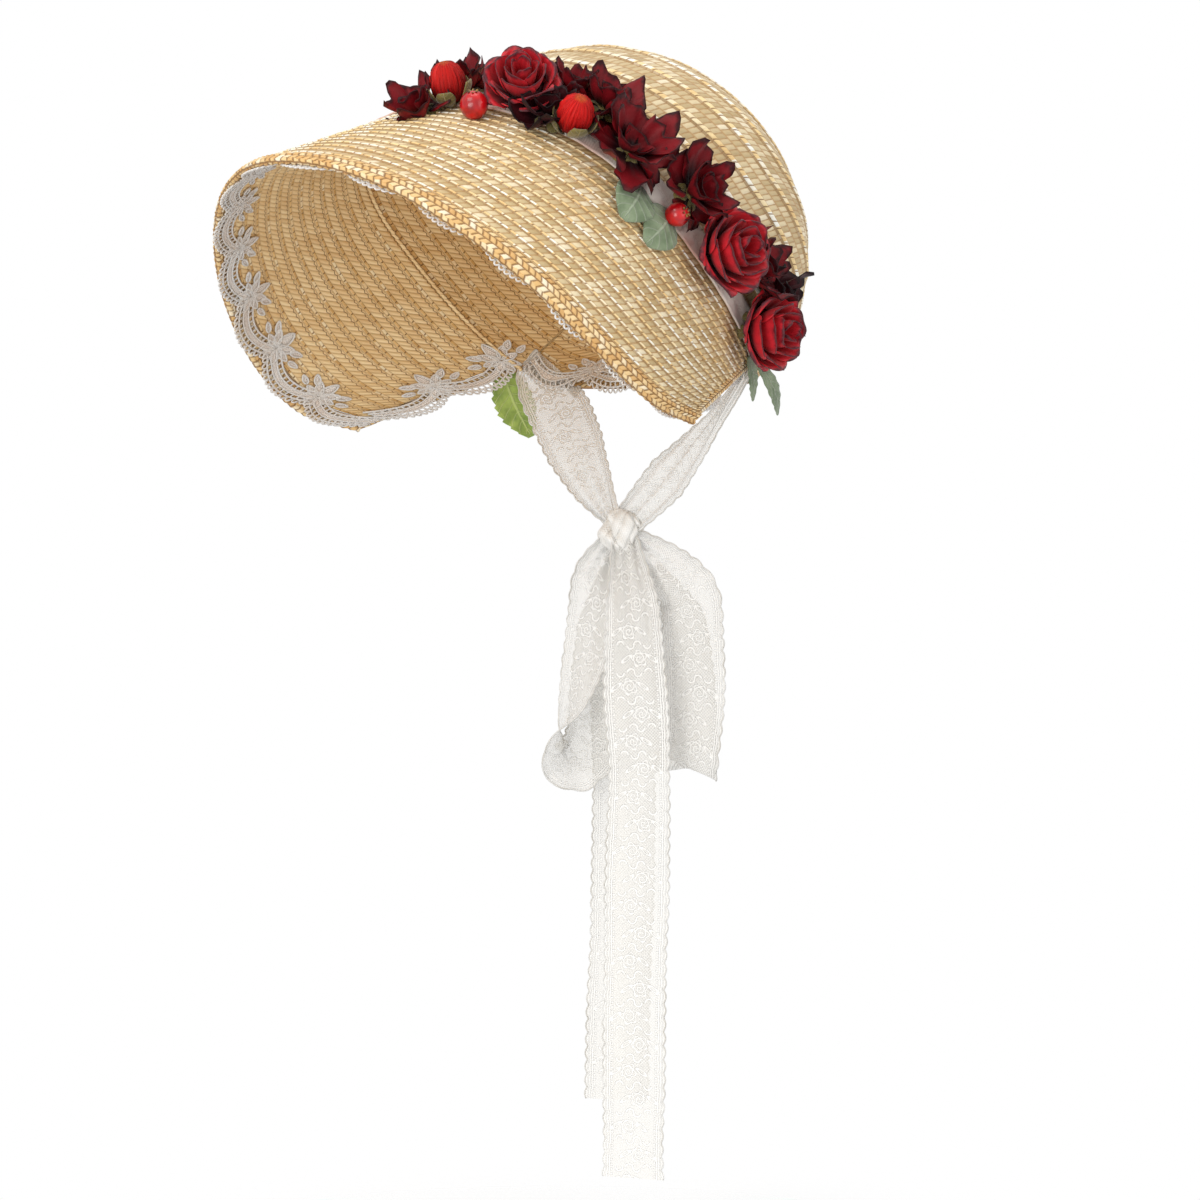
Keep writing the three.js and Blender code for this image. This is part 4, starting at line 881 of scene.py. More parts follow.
lace_thread = thread_finish("lace_thread", colour(255, 252, 248), colour(250, 240, 230), 0.9)
lace_net = thread_finish("lace_net", colour(252, 244, 236), colour(242, 226, 212), 1.9, True)
ear_middles, nape_middles = end_middles[:END_SCALLOPS], end_middles[END_SCALLOPS:]
for name, place, middles, node in (
        ("lace_edging", lace_on_edge, edge_middles, "lace_trim"),
        ("lace_ear_near", lace_on_end(1), ear_middles, "lace_end_near"),
        ("lace_ear_far", lace_on_end(-1), ear_middles, "lace_end_far"),
        ("lace_nape_near", lace_on_nape(1), nape_middles, None),
        ("lace_nape_far", lace_on_nape(-1), nape_middles, None)):
    piece(name, lace_grids(place, middles), [lace_thread, lace_net], node, weld=1e-8)

# %% [markdown]
# ## Ribbon ties
#
# One lace ribbon, 31 mm wide, goes from each ear to the knot and on into two loops and two free
# ends. A ribbon is a single sheet: stations give its middle, its direction across and its share of
# the full width, a smooth curve joins the middles, and where it is gathered it stands in pleats.
# Netting and embroidery are a pattern in the sheet's own flat millimetres, with clear gaps.

# %% Ribbon stations
RIBBON_WIDTH = 31.0
KNOT = np.array([0.0, 45.0, -131.0])
BOW_SIDE = np.array([math.sqrt(0.5), math.sqrt(0.5), 0.0])
BOW_OUT = np.array([math.sqrt(0.5), -math.sqrt(0.5), 0.0])
# Length in mm, then rows: side, down and out in shares, tilt and turn in degrees, width share.
TIES = {
    "tail_front": (305, [
        [0.05, 0.01, 0.1, -20, 0, 0.4], [0.16, 0.11, 0.4, -5, 0, 0.8], [0.21, 0.24, 0.48, 0, 14, 1],
        [0.27, 0.38, 0.42, 0, 20, 1], [0.24, 0.53, 0.34, 0, 10, 1], [0.21, 0.68, 0.36, 0, 16, 1],
        [0.19, 0.84, 0.42, 2, 20, 1], [0.18, 1, 0.38, 7, 22, 1]]),
    "tail_back": (272, [
        [-0.02, 0.01, -0.1, 0, 0, 0.35], [0, 0.12, -0.48, 0, 4, 0.7], [0.02, 0.24, -0.66, 0, 10, 1],
        [0.05, 0.45, -0.7, 0, 10, 1], [0.02, 0.66, -0.64, 0, 14, 1], [-0.04, 0.84, -0.62, 0, 12, 1],
        [-0.07, 1, -0.6, -3, 10, 1]]),
    "loop_near": (112, [
        [0.18, 0.03, 0, 60, 0, 0.35], [0.68, 0.15, 0.12, 55, 0, 0.75], [1.03, 0.27, 0.2, 15, 20, 1],
        [1.1, 0.46, 0.22, 12, 20, 1], [1.12, 0.71, 0.2, 0, 30, 1], [1.06, 0.93, 0.12, 0, 30, 1],
        [1, 1, -0.06, -4, 24, 1], [1, 0.9, -0.24, 0, 20, 1], [0.97, 0.63, -0.3, 8, 16, 1],
        [0.82, 0.37, -0.28, 25, 10, 0.9], [0.4, 0.16, -0.16, 45, 0, 0.4]]),
    "loop_far": (112, [
        [-0.14, 0.03, -0.02, -45, 0, 0.3], [-0.4, 0.18, -0.02, -12, 14, 0.65],
        [-0.44, 0.38, -0.06, -6, 36, 1], [-0.58, 0.57, -0.06, -8, 48, 1],
        [-0.78, 0.74, -0.02, -17, 72, 1], [-1, 0.87, -0.02, -17, 100, 1],
        [-0.98, 0.97, -0.08, 17, 118, 1], [-0.74, 1, -0.24, 96, 130, 1],
        [-0.42, 0.9, -0.44, 146, 160, 1], [-0.3, 0.66, -0.5, 175, 176, 1],
        [-0.22, 0.4, -0.44, 178, 180, 0.9], [-0.12, 0.16, -0.24, 180, 180, 0.4]]),
}
# Side, width at the top, then rows: part of the way, bow to the side, tilt, turn, width share.
STRAPS = {
    "strap_near": (1, 0.34, [[0.2, 0.02, -40, 60, 0.34], [0.45, 0.05, -42, 45, 0.6],
                             [0.7, 0.05, -42, 30, 0.75], [1, 0, -40, 20, 0.5]]),
    "strap_far": (-1, 1.0, [[0.25, -0.04, 14, 0, 1], [0.5, -0.06, 22, 10, 0.95],
                            [0.75, -0.06, 28, 24, 0.7], [1, 0, 28, 40, 0.3]]),
}
STRAP_ANGLE, STRAP_TOP, SEAT_DEPTH, KNOT_SIDE, KNOT_UP = 137.0, 9.0, 3.1, 3.8, 5.25


def bow_place(side, down, out):
    return KNOT + side * BOW_SIDE + out * BOW_OUT - down * SKY


def across_from(tilt, turn):
    tilt, turn = math.radians(tilt), math.radians(turn)
    flat = math.cos(tilt) * BOW_SIDE + math.sin(tilt) * SKY
    return math.cos(turn) * flat + math.sin(turn) * BOW_OUT


def tie_stations(length, rows):
    """Points, directions across and width shares of a loop or a free end."""
    points = [bow_place(side * RIBBON_WIDTH, down * length, out * RIBBON_WIDTH)
              for side, down, out, *_ in rows]
    across = [across_from(tilt, turn) for *_, tilt, turn, _ in rows]
    return np.array(points), np.array(across), [row[-1] for row in rows]


def strap_stations(side, top_width, rows):
    """As above for a strap: flat inside the ear first, and then straight to the knot."""
    angle = np.array([180 + side * (STRAP_ANGLE - 180)])
    tangent = side * unit(band_loop(angle + 1) - band_loop(angle - 1))[0]

    def seat(distance):
        at = crown_shares(angle, np.array([[distance]]))
        return (crown_point(angle[:, None], at) - crown_out(angle[:, None], at) * SEAT_DEPTH)[0, 0]

    start, end = seat(0.0), bow_place(side * KNOT_SIDE, -KNOT_UP, 0.0)
    points, across, widths = [seat(STRAP_TOP), start], [tangent] * 2, [top_width] * 2
    for part, bow, tilt, turn, width in rows:
        lean = across_from(tilt, turn)
        points.append(start + (end - start) * part + BOW_SIDE * bow * RIBBON_WIDTH)
        across.append(lean if lean @ across[-1] >= 0 else -lean)
        widths.append(width)
    return np.array(points), np.array(across), widths


# %% Ribbon surface
SHEET_STEP, SHEET_COLUMNS, EDGE_SCALLOP, BORDER, NET, REPEAT = 1.1, 19, 6.5, 0.42, 1.5, 13.0


def spline(points, share):
    """Centripetal curve: each stretch's end tangents come from steps of length to the power 1/2."""
    ends = np.concatenate([[2 * points[0] - points[1]], points, [2 * points[-1] - points[-2]]])
    place = share * (len(points) - 1)
    i = np.minimum(place.astype(int), len(points) - 2)
    w = (place - i)[:, None]
    a, b, c, d = (ends[i + k] for k in range(4))
    first, middle, last = (np.sqrt(np.linalg.norm(q - p, axis=-1, keepdims=True))
                           for p, q in ((a, b), (b, c), (c, d)))
    start = ((b - a) / first - (c - a) / (first + middle) + (c - b) / middle) * middle
    stop = ((c - b) / middle - (d - b) / (middle + last) + (d - c) / last) * middle
    square, cube = 3 * (c - b) - 2 * start - stop, 2 * (b - c) + start + stop
    return b + start * w + square * w**2 + cube * w**3


def ribbon_sheet(points, across, widths):
    """Sheet through stations: gathered width stands as pleats, and the edges flutter a little."""
    rough = lengths(spline(points, np.linspace(0, 1, 200)), 0)[-1]
    share = np.linspace(0, 1, int(rough / SHEET_STEP))
    middle = spline(points, share)
    place, stations = share * (len(points) - 1), np.arange(len(points))
    lean = np.stack([np.interp(place, stations, across[:, k]) for k in range(3)], -1)
    ahead = unit(np.gradient(middle, axis=0))
    lean = unit(lean - (lean * ahead).sum(-1, keepdims=True) * ahead)
    face = np.cross(lean, ahead)
    run = lengths(middle, 0)[:, None]
    wide = np.interp(place, stations, widths)[:, None]
    w = np.linspace(-1, 1, SHEET_COLUMNS)[None, :]
    scallop = 1 - 0.08 * w**6 * (1 - np.abs(np.sin(np.pi * run / EDGE_SCALLOP)))
    pleats = 3.2 * (1 - wide) * np.cos(3 * np.pi * w + 0.02 * run)
    flutter = wide * (0.9 * w**2 * np.sin(run / 13 + 1.3 * w) + 0.35 * np.sin(run / 7 + 2 * w))
    reach, lift = RIBBON_WIDTH / 2 * wide * w * scallop, pleats + flutter
    sheet = middle[:, None] + lean[:, None] * reach[..., None] + face[:, None] * lift[..., None]
    return sheet, flat_map(RIBBON_WIDTH / 2 * w, run), face, float(run[-1, 0])


def ribbon_finish(name, light, shade, thin):
    """Netting of slanted threads, embroidered roses with leaves, a line inside each solid edge."""
    ribbon = Finish(name, Roughness=0.75, Sheen_Weight=0.1)
    x, y = ribbon.pattern()
    side = x.size()
    slants = [((way / NET).part() - 0.5).size() for way in (x + y, x - y)]
    net = slants[0].most(slants[1]).rise(0.3, 0.42)
    row, local = (y / REPEAT).floor(), ((y / REPEAT).part() - 0.5) * REPEAT
    aside = x - (row * math.pi + math.pi / 2).sine() * 2.6
    radius = (aside * aside + local * local) ** 0.5
    angle = local.math("ARCTAN2", local, aside)
    petal = radius - (angle * 5.0 + row).sine() * 0.6
    inside = 1 - petal.rise(3.7, 4.0)
    rim = inside * petal.rise(2.9, 3.2)
    swirl = (radius * 3.6 + angle).sine().rise(-0.1, 0.5)
    rose = rim.most(inside * swirl)
    tip = aside.size() - 6.6
    leaf_along, leaf_aside = tip / 3.0, (local - tip * 0.6) / 1.4
    leaf_shape = leaf_along * leaf_along + leaf_aside * leaf_aside
    leaves = (1 - leaf_shape.rise(0.85, 1.15)) * leaf_shape.rise(0.05, 0.4)
    low, hook = ((y / REPEAT + 0.5).part() - 0.5) * REPEAT, aside.size() - 4.4
    scroll = 1 - ((hook * hook + low * low) ** 0.5 - 1.8).size().rise(0.35, 0.6)
    lines = [1 - (side - place).size().rise(0.3, 0.5) for place in (12.0, 13.2)]
    edge = (side - 14.2).rise(0.0, 0.25)
    dots = 1 - (((y / 2.2).part() - 0.5).size() * 2.4).most((side - 10.9).size()).rise(0.4, 0.7)
    sewn = rose
    for drawn in (leaves, scroll, *lines, edge, dots):
        sewn = sewn.most(drawn)
    tone = ribbon.blend(sewn * 0.85 + net * 0.25, shade, light)
    ribbon.feed(Base_Color=tone, Alpha=sewn.most(net * 0.95).most(thin))
    ribbon.relief(sewn + net * 0.3, 0.35)
    return ribbon


IVORY, IVORY_SHADE = colour(253, 252, 249), colour(236, 234, 229)
lace_ribbon = ribbon_finish("lace_ribbon", IVORY, IVORY_SHADE, 0.5)
border_thread = thread_finish("border_thread", IVORY, colour(228, 224, 216), 1.0)
stations_of = {name: tie_stations(*row) for name, row in TIES.items()}
stations_of.update({name: strap_stations(*row) for name, row in STRAPS.items()})
for name, stations in stations_of.items():
    sheet, flat, face, length = ribbon_sheet(*stations)
    ribbon = piece(f"{name}_lace", [(sheet, flat, 0)], [lace_ribbon], name,
                   closed=False)
    edges = cords(np.stack([sheet[:, 0], sheet[:, -1]]), face[None], BORDER)
    border = piece(f"{name}_border", [(edges, None, 0)], [border_thread],
                   weld=1e-7)
    print(name, "length in mm:", round(length))

# %% [markdown]
# ## Knot
#
# The knot is one turn of the gathered ribbon pulled tight over the others. It is a closed form
# pinched at its middle, with creases that run slanted round it.

# %% Knot
KNOT_TILT, KNOT_HALF = math.radians(28), (9.5, 8.0, 10.5)
knot_cloth = Finish("knot_cloth", Roughness=0.75, Sheen_Weight=0.3)
across_knot, round_knot = knot_cloth.pattern()
crease = (across_knot * 26.0 + round_knot * 9.0).sine()
weave = (across_knot * 160.0).sine() * (round_knot * 210.0).sine()
# Painted shade: the hollows of the creases are painted a darker ivory; the weave adds a fine thread
# pattern.
knot_cloth.feed(Base_Color=knot_cloth.blend(crease * 0.3 + weave * 0.2 + 0.55, IVORY_SHADE, IVORY))
knot_cloth.relief(crease * 0.8 + weave * 0.25, 0.5)
share = np.linspace(0, 1, 61)[:, None]
around = np.linspace(0, 2 * np.pi, 97)[None, :]
furrow = 1 - np.abs(np.sin(4 * around + 5 * share + 0.7 * np.sin(6 * share)))
wrap = 1 - np.abs(np.sin(around + 6.5 * share + 0.4))
radius = np.sin(np.pi * share) ** 0.9 * (1 - 0.12 * np.cos(4 * np.pi * share))
radius = radius * (1 + 0.1 * np.cos(3 * around + 2)) * (1.06 - 0.3 * furrow**2 - 0.34 * wrap**6)
knot_cos, knot_sin = math.cos(KNOT_TILT), math.sin(KNOT_TILT)
knot_up, knot_side = knot_cos * SKY + knot_sin * BOW_SIDE, knot_cos * BOW_SIDE - knot_sin * SKY
ball = (KNOT + (KNOT_HALF[0] * radius * np.cos(around))[..., None] * knot_side
        + (KNOT_HALF[1] * radius * np.sin(around))[..., None] * BOW_OUT
        + (KNOT_HALF[2] * np.cos(np.pi * share) + 0 * around)[..., None] * knot_up)
ball_map = flat_map(share, around / (2 * np.pi))
piece("knot_cloth", [(ball, ball_map, 0)], [knot_cloth], "knot", weld=1e-5)

# %% [markdown]
# ## Garland
#
# The flowers are made of stiffened cloth: red roses, dark open blooms, scarlet buds, glossy berries
# and green leaves, most of them on a short stem. A petal is a curved patch between two angles round
# the flower's axis, given a thickness. Chance turns and ruffles come from one seeded source.

# %% Petals
chance = np.random.default_rng(7)


def garland_place(angle, across, lift, lean=0.0, side=0.0, forward=0.0):
    """A flower's middle and its three directions: two across its axis and the axis itself."""
    degrees = np.array([float(angle)])
    tangent = unit(band_loop(degrees + 0.5) - band_loop(degrees - 0.5))[0]
    out = (brim_out(degrees / EAR_ANGLE, 0.05) + crown_out(degrees, 0.1))[0]
    out = unit(out - (out @ tangent) * tangent)
    up_crown = np.cross(out, tangent)
    axis = unit(out + up_crown * lean + tangent * side + back * forward)
    first = unit(tangent - (tangent @ axis) * axis)
    middle = band_loop(degrees)[0] + up_crown * across + out * lift
    return middle, np.stack([first, np.cross(axis, first), axis])


u = np.linspace(0, 1, 13)[:, None]
w = np.linspace(-1, 1, 11)[None, :]
petal_map = flat_map(w, u)


def petals(place, count, half_angle, radius, height, up=0.6, wall=0.4, turn=0, slot=0, taper=0.78):
    """Petals round an axis: radius(u, w, wave) and height(u, w, wave) in mm from base to rim."""
    middle, axes = place
    k = np.arange(count)[:, None, None]
    wave = chance.uniform(0, 2 * np.pi, (count, 1, 1))
    narrow = np.sin(np.pi * (0.1 + taper * u)) ** 0.55
    theta = turn + 2 * np.pi * k / count + w * half_angle * narrow + 0.12 * np.sin(wave)
    r, z = radius(u, w, wave) + 0 * theta, height(u, w, wave) + 0 * theta
    flat = np.stack([r * np.cos(theta), r * np.sin(theta), z], -1)
    inward = unit(np.stack([-np.cos(theta), -np.sin(theta), up + 0 * theta], -1))
    return shell(middle + flat @ axes, inward @ axes, wall, petal_map, slot)


skin_p, halfway = np.linspace(-1, 1, 241)[:, None], 0.5
skin_s, skin_share = (np.linspace(0, halfway, count)[None, :] for count in (20, 30))
skin, skin_out = (np.concatenate([on_brim(skin_p, skin_s).reshape(-1, 3),
                                  on_crown(skin_p * 180, skin_share).reshape(-1, 3)])
                  for on_brim, on_crown in ((brim_point, crown_point), (brim_out, crown_out)))
LONGEST_STEM, STEM_STEP, STRAW_SKIN = 22.0, 0.4, 1.9


def stem_root(place, top):
    """The lowest height on the axis still outside the straw, by its nearest skin point."""
    heights = np.arange(top, top - LONGEST_STEM, -STEM_STEP)
    line = place[0] + heights[:, None] * place[1][2]
    nearest = np.argmin(np.linalg.norm(line[:, None] - skin[None], axis=-1), axis=1)
    outside = ((line - skin[nearest]) * skin_out[nearest]).sum(-1) > STRAW_SKIN
    return float(heights[-1 if outside.all() else int(np.argmin(outside)) - 1])


def stem(place, top, radius, slot):
    """Closed cone from the band up into the flower."""
    middle, axes = place
    root = min(stem_root(place, top), top - 0.5)
    height = np.array([root, root, (root + top) / 2, top, top])[:, None]
    reach = np.array([0.0, 0.7, 0.8, 1.6, 0.0])[:, None] * radius
    turn = np.linspace(0, 2 * np.pi, 13)[None, :]
    ring = np.stack(np.broadcast_arrays(reach * np.cos(turn), reach * np.sin(turn), height), -1)
    return [(middle + ring @ axes, None, slot)]


def sepals(place, base, reach, slot, droop=2.5):
    """Five pointed olive sepals below a flower."""
    return petals(place, 5, 0.5, lambda u, w, k: 1.6 + reach * u * (1 - 0.1 * w**2),
                  lambda u, w, k: base + 1.5 * np.sin(np.pi * u) - droop * u**2,
                  1.6, 0.35, 0.4, slot)


# %% Finishes of the flowers
def petal_finish(name, heart, middle, rim, sheen=0.02, gloss=0.22):
    """Cloth petals: fine veins run from base to rim, and the rim is of its own tone."""
    heart, middle, rim = colour(*heart), colour(*middle), colour(*rim)
    petal = Finish(name, Roughness=0.5, Sheen_Weight=sheen, Specular_IOR_Level=gloss)
    across, along = petal.pattern()
    veins = (across * 13.0 + (along * 6.0).sine() * 1.5).sine()
    cloth = petal.cloud(None, 260.0, 3.0)
    tone = petal.blend(along.rise(0.25, 0.75), heart, middle)
    tone = petal.blend((along + cloth * 0.25 - 0.12).rise(0.86, 1.0), tone, rim)
    tone = petal.blend((veins * 0.5 + 0.5) * 0.3 * cloth, tone, heart)
    petal.feed(Base_Color=tone)
    petal.relief(veins * 0.3 + cloth, 0.35)
    return petal


def leaf_finish(name, light, dark, vein, count):
    """A midrib and side veins that slant towards the tip, over a soft change of tone."""
    light, dark, vein = colour(*light), colour(*dark), colour(*vein)
    leaf = Finish(name, Roughness=0.7, Sheen_Weight=0.35)
    across, along = leaf.pattern()
    side = across.size()
    slanted = ((along * count - side * 1.3).part() - 0.5).size()
    lines = (slanted.rise(0.4, 0.47) * 0.7).most(1 - side.rise(0.03, 0.09))
    soft = leaf.cloud(None, 150.0, 3.0)
    ground = leaf.blend(soft.rise(0.3, 0.7), light, dark)
    leaf.feed(Base_Color=leaf.blend(lines * 0.7, ground, vein))
    leaf.relief(lines + soft * 0.5, 0.35)
    return leaf


rose_cloth = petal_finish("rose_cloth", (84, 5, 15), (206, 32, 46), (78, 10, 26), 0.08, 0.4)
dark_cloth = petal_finish("dark_cloth", (34, 3, 8), (126, 14, 24), (48, 4, 10))
black_cloth = petal_finish("black_cloth", (18, 4, 8), (62, 10, 18), (24, 5, 9))
bud_cloth, pink_bud_cloth = (petal_finish(name, *tones, gloss=0.25) for name, tones in (
    ("bud_cloth", ((160, 6, 10), (226, 24, 20), (242, 96, 36))),
    ("pink_bud_cloth", ((150, 10, 12), (216, 30, 24), (238, 110, 50)))))
sepal_cloth = leaf_finish("sepal_cloth", (132, 116, 54), (92, 84, 36), (160, 142, 80), 5.0)
leaf_cloth = leaf_finish("leaf_cloth", (134, 150, 118), (98, 116, 84), (164, 176, 150), 6.0)
ear_leaf_cloth = leaf_finish("ear_leaf_cloth", (176, 198, 98), (132, 158, 70), (206, 220, 140), 8.0)
berry_skin = Finish("berry_skin", Roughness=0.28, Coat_Weight=0.3, Coat_Roughness=0.08)
seed_dots = Finish("seed_dots", Roughness=0.6)
for finish, scale, detail, low, high, tones in (
        (berry_skin, 160.0, 2.0, 0.35, 0.65, ((202, 10, 20), (140, 5, 14))),
        (seed_dots, 700.0, 1.0, 0.4, 0.6, ((60, 40, 22), (150, 118, 60)))):
    spots = finish.cloud(None, scale, detail).rise(low, high)
    finish.feed(Base_Color=finish.blend(spots, *(colour(*tone) for tone in tones)))

# %% Roses
# Each row: petals, reach, height of the rim, roll of the rim, turn in degrees.
ROSE_LAYERS = [[5, 15.4, 2.0, 2.6, 0], [5, 13.4, 7.0, 2.2, 38], [4, 9.8, 10.4, 1.5, 10],
               [3, 6.6, 11.6, 0.9, 50], [3, 3.9, 12.2, 0.4, 5]]
# Each row: angle round the band, place across it, lift, size and lean towards the front left.
ROSES = {"rose_top": (26.6, 0.5, 16, 1.0, 0.8), "rose_side": (95.4, 2, 17, 1.14, 0.2),
         "rose_ear": (114, -2, 17, 1.1, 0.2), "rose_far_side": (-98, 1, 17, 1.0, 0)}


def cup(reach, top, roll, base=-10.0):
    """A cup-shaped petal: it bellies out quickly, rises, and its rim rolls outwards and down."""
    def radius(u, w, wave):
        rolled = np.clip((u - 0.72) / 0.28, 0, 1) ** 1.5
        belly = 0.14 + 0.86 * np.sin(np.pi / 2 * np.minimum(1, 1.15 * u))
        return reach * belly * (1 + 0.05 * w) + roll * rolled * (0.8 + 0.4 * np.sin(3 * w + wave))

    def height(u, w, wave):
        rolled = np.clip((u - 0.82) / 0.18, 0, 1) ** 1.6
        upright = base + (top - base) * u**1.2 - 1.7 * w**2 * u**2
        return upright - 0.8 * roll * rolled + 0.4 * np.sin(5 * w + wave) * u**3
    return radius, height


for name, (angle, across, lift, size, forward) in ROSES.items():
    middle, axes = garland_place(angle, across, lift, forward=forward)
    place = middle, axes * size
    grids = []
    for count, reach, top, roll, turn in ROSE_LAYERS:
        grids += petals(place, count, 2.05 * np.pi / count * 0.66, *cup(reach, top, roll),
                        0.6, 0.45, math.radians(turn) + angle)
    grids += stem((middle, axes), -8.0, 2.6, 1) + sepals(place, -10.5, 7.0, 1)
    piece(name + "_petals", grids, [rose_cloth, sepal_cloth], name, weld=1e-8)

# %% Open blooms
BLOOM_HALF = 15.0
# Each row: petals, reach in shares of the bloom's half width, height of the base, rise to the rim.
BLOOM_LAYERS = ((5, 1.16, -3.5, 6.0), (4, 0.86, -2.4, 9.5), (2, 0.42, -2.0, 9.0))
# Each row: angle, across, lift, lean up the crown, lean along the band, size.
BLOOMS = {"bloom_front": (3, -22, 6, -0.5, 0, 0.9), "bloom_top": (3, 9, 9, 0, 0, 0.95),
          "bloom_black_top": (37, -4, 9, -0.3, 0, 0.95), "bloom_crown": (37, 18, 9, 0.2, 0, 0.8),
          "bloom_upper": (49, 18, 11, 0.3, 0, 0.95), "bloom_middle": (63, 2, 11, 0, 0, 1.35),
          "bloom_side": (85, 9, 12, 0, 0, 1.1), "bloom_low": (104, 16, 11, 0.4, 0, 1.1),
          "bloom_black_low": (116, 20, 10, 0.2, 0.3, 1.0),
          "bloom_far_middle": (-68, 10, 8, 0, 0, 0.9), "bloom_far_side": (-82, 10, 11, 0, 0, 1.15),
          "bloom_far_low": (-115, 6, 11, 0, 0, 1.1)}


def dish(reach, base, rise_mm, ruffle):
    """A petal of an open bloom: a shallow dish with a crumpled, notched rim."""
    def radius(u, w, wave):
        notch = 0.16 * np.exp(-((w / 0.25) ** 2)) * u**3
        ragged = 0.12 * np.sin(2.4 * w + wave) + 0.05 * np.sin(9 * w + 3 * wave) * u**3
        rim = 1 - 0.24 * w**4 * u - notch + ragged + 0.1 * np.sin(3 * wave)
        return 1.2 + (reach - 1.2) * u * rim

    def height(u, w, wave):
        crumple = 1.3 * np.sin(3.1 * w + wave) * u**1.5
        crumple = crumple + 0.7 * np.sin(7 * w + 4 * u + 2 * wave) * u**2
        tilt = 0.34 * reach * np.sin(2 * wave) * u**1.6
        belly = 1.2 * (1 - w**2) * np.sin(np.pi * u)
        return base + rise_mm * u**1.4 - belly + ruffle * crumple + tilt
    return radius, height


for name, (angle, across, lift, lean, side, size) in BLOOMS.items():
    place = garland_place(angle, across, lift, lean, side)
    grids = []
    for count, share, base, rise_mm in BLOOM_LAYERS:
        reach = BLOOM_HALF * size * share
        form = dish(reach, base, rise_mm, 0.17 * reach)
        grids += petals(place, count, 2 * np.pi / count * 0.62, *form, 2.0, 0.4,
                        chance.uniform(0, 6), taper=0.6)
    grids += stem(place, -3.0, 2.2, 1) + sepals(place, -4.5, 8.0, 1, 1.0)
    cloth = black_cloth if "black" in name else dark_cloth
    piece(name + "_petals", grids, [cloth, sepal_cloth], name, weld=1e-8)

# %% Buds and berries
BUD_HALF, BERRY_HALF = 8.8, 6.4
# Each row: angle, across, lift, and a berry's size.
BUDS = {"bud_top": (8, -9, 14), "bud_side": (45.5, -6, 14), "bud_far": (-72, -7, 13)}
BERRIES = {"berry_top": (19.5, -19, 8, 1.0), "berry_side": (84, -7, 9, 0.85),
           "berry_far": (-60, -16, 8, 1.0)}


def ball_grid(place, half, height, ridges, depth_share):
    """A ball whose radius is ridged from base to tip."""
    middle, axes = place
    share = np.linspace(0, 1, 33)[:, None]
    turn = np.linspace(0, 2 * np.pi, 73)[None, :]
    ridge = ridges * turn / 2 + 1.5 * share + 0.5 * np.sin(5 * turn + 9 * share)
    wavy = 1 - depth_share * np.abs(np.sin(ridge)) ** 0.7
    r = half * np.sin(np.pi * share) ** 0.85 * wavy
    z = -half * height * np.cos(np.pi * share) + 0 * turn
    ball = np.stack([r * np.cos(turn), r * np.sin(turn), z], -1)
    return [(middle + ball @ axes, flat_map(np.cos(ridges * turn / 2), share), 0)]


for name, row in BUDS.items():
    place = garland_place(*row)
    grids = ball_grid(place, BUD_HALF, 1.1, 26, 0.2)
    grids += petals(place, 5, 0.5, lambda u, w, k: 1.5 + 8.6 * np.sin(np.pi * (0.04 + 0.5 * u)),
                    lambda u, w, k: -10.6 + 9.5 * u**1.1 + 1.5 * np.sin(k) * u, 0.1, 0.5, 0.3, 2)
    grids += stem(place, -8.5, 2.0, 2)
    cloth = pink_bud_cloth if name == "bud_top" else bud_cloth
    piece(name + "_ball", grids, [cloth, cloth, sepal_cloth], name, weld=1e-7)
for name, (angle, across, lift, size) in BERRIES.items():
    place = garland_place(angle, across, lift)
    grids = ball_grid(place, BERRY_HALF * size, 1.0, 5, 0.03)
    grids += petals(place, 6, 0.3, lambda u, w, k: 0.3 + 2.2 * u,
                    lambda u, w, k: 6.0 * size + 0.8 * u, 2.0, 0.3, 0, 2)
    grids += stem(place, -5.0 * size, 1.2, 1)
    piece(name + "_ball", grids, [berry_skin, sepal_cloth, seed_dots], name,
          weld=1e-7)

# %% Leaves
# Each row: angle, across, lift, heading, length share, breadth share, bow and rise in mm, teeth.
LEAF_ROWS = {
    "leaf_round_upper": (72, -6, 3.5, -90, 0.9, 0.95, 3, 0, 0),
    "leaf_round_lower": (84, -4, 3.5, -100, 0.95, 0.9, 3, 0, 0),
    "leaf_narrow_short": (120, -8, 4, -20, 0.9, 0.4, 1, 0, 0),
    "leaf_narrow_long": (124, -4, 5, -5, 1.3, 0.28, 3, 6, 0),
    "leaf_far_ear": (-123, -3, 4, 208, 1.45, 0.6, 3, 3, 9),
    "leaf_far_side": (-88, -5, 3.5, -80, 0.9, 0.8, 3, 0, 0),
}
LEAF_LENGTH, LEAF_WALL = 26.0, 0.5
for name, row in LEAF_ROWS.items():
    middle, axes = garland_place(*row[:3])
    heading, long, broad, bow, rise_mm, teeth = row[3:]
    turn = math.radians(heading)
    ahead = axes[0] * math.cos(turn) + axes[1] * math.sin(turn)
    aside = np.cross(axes[2], ahead)
    length = LEAF_LENGTH * long
    share = np.linspace(0, 1, 49)[:, None]
    width = broad * length / 2 * np.sin(np.pi * np.minimum(0.97, 0.06 + 0.91 * share)) ** 0.8
    jag = 1 - 0.16 * ((share * teeth) % 1.0) * (teeth > 0) * np.abs(w)
    crease = 0.7 * np.abs(w) + 0.25 * np.cos(2 * np.pi * (6 * share - 1.3 * np.abs(w)))
    arch = np.sin(np.pi * share)
    height = bow * arch + rise_mm * share - 0.12 * width * np.abs(w) + crease * arch
    blade = (middle + ahead * (length * share + 0 * w)[..., None]
             + aside * (w * width * jag)[..., None] + axes[2] * height[..., None])
    grids = shell(blade, np.broadcast_to(axes[2], blade.shape), LEAF_WALL, flat_map(w, share), 0)
    cloth = ear_leaf_cloth if name == "leaf_far_ear" else leaf_cloth
    piece(name + "_blade", grids, [cloth], name, weld=1e-8)

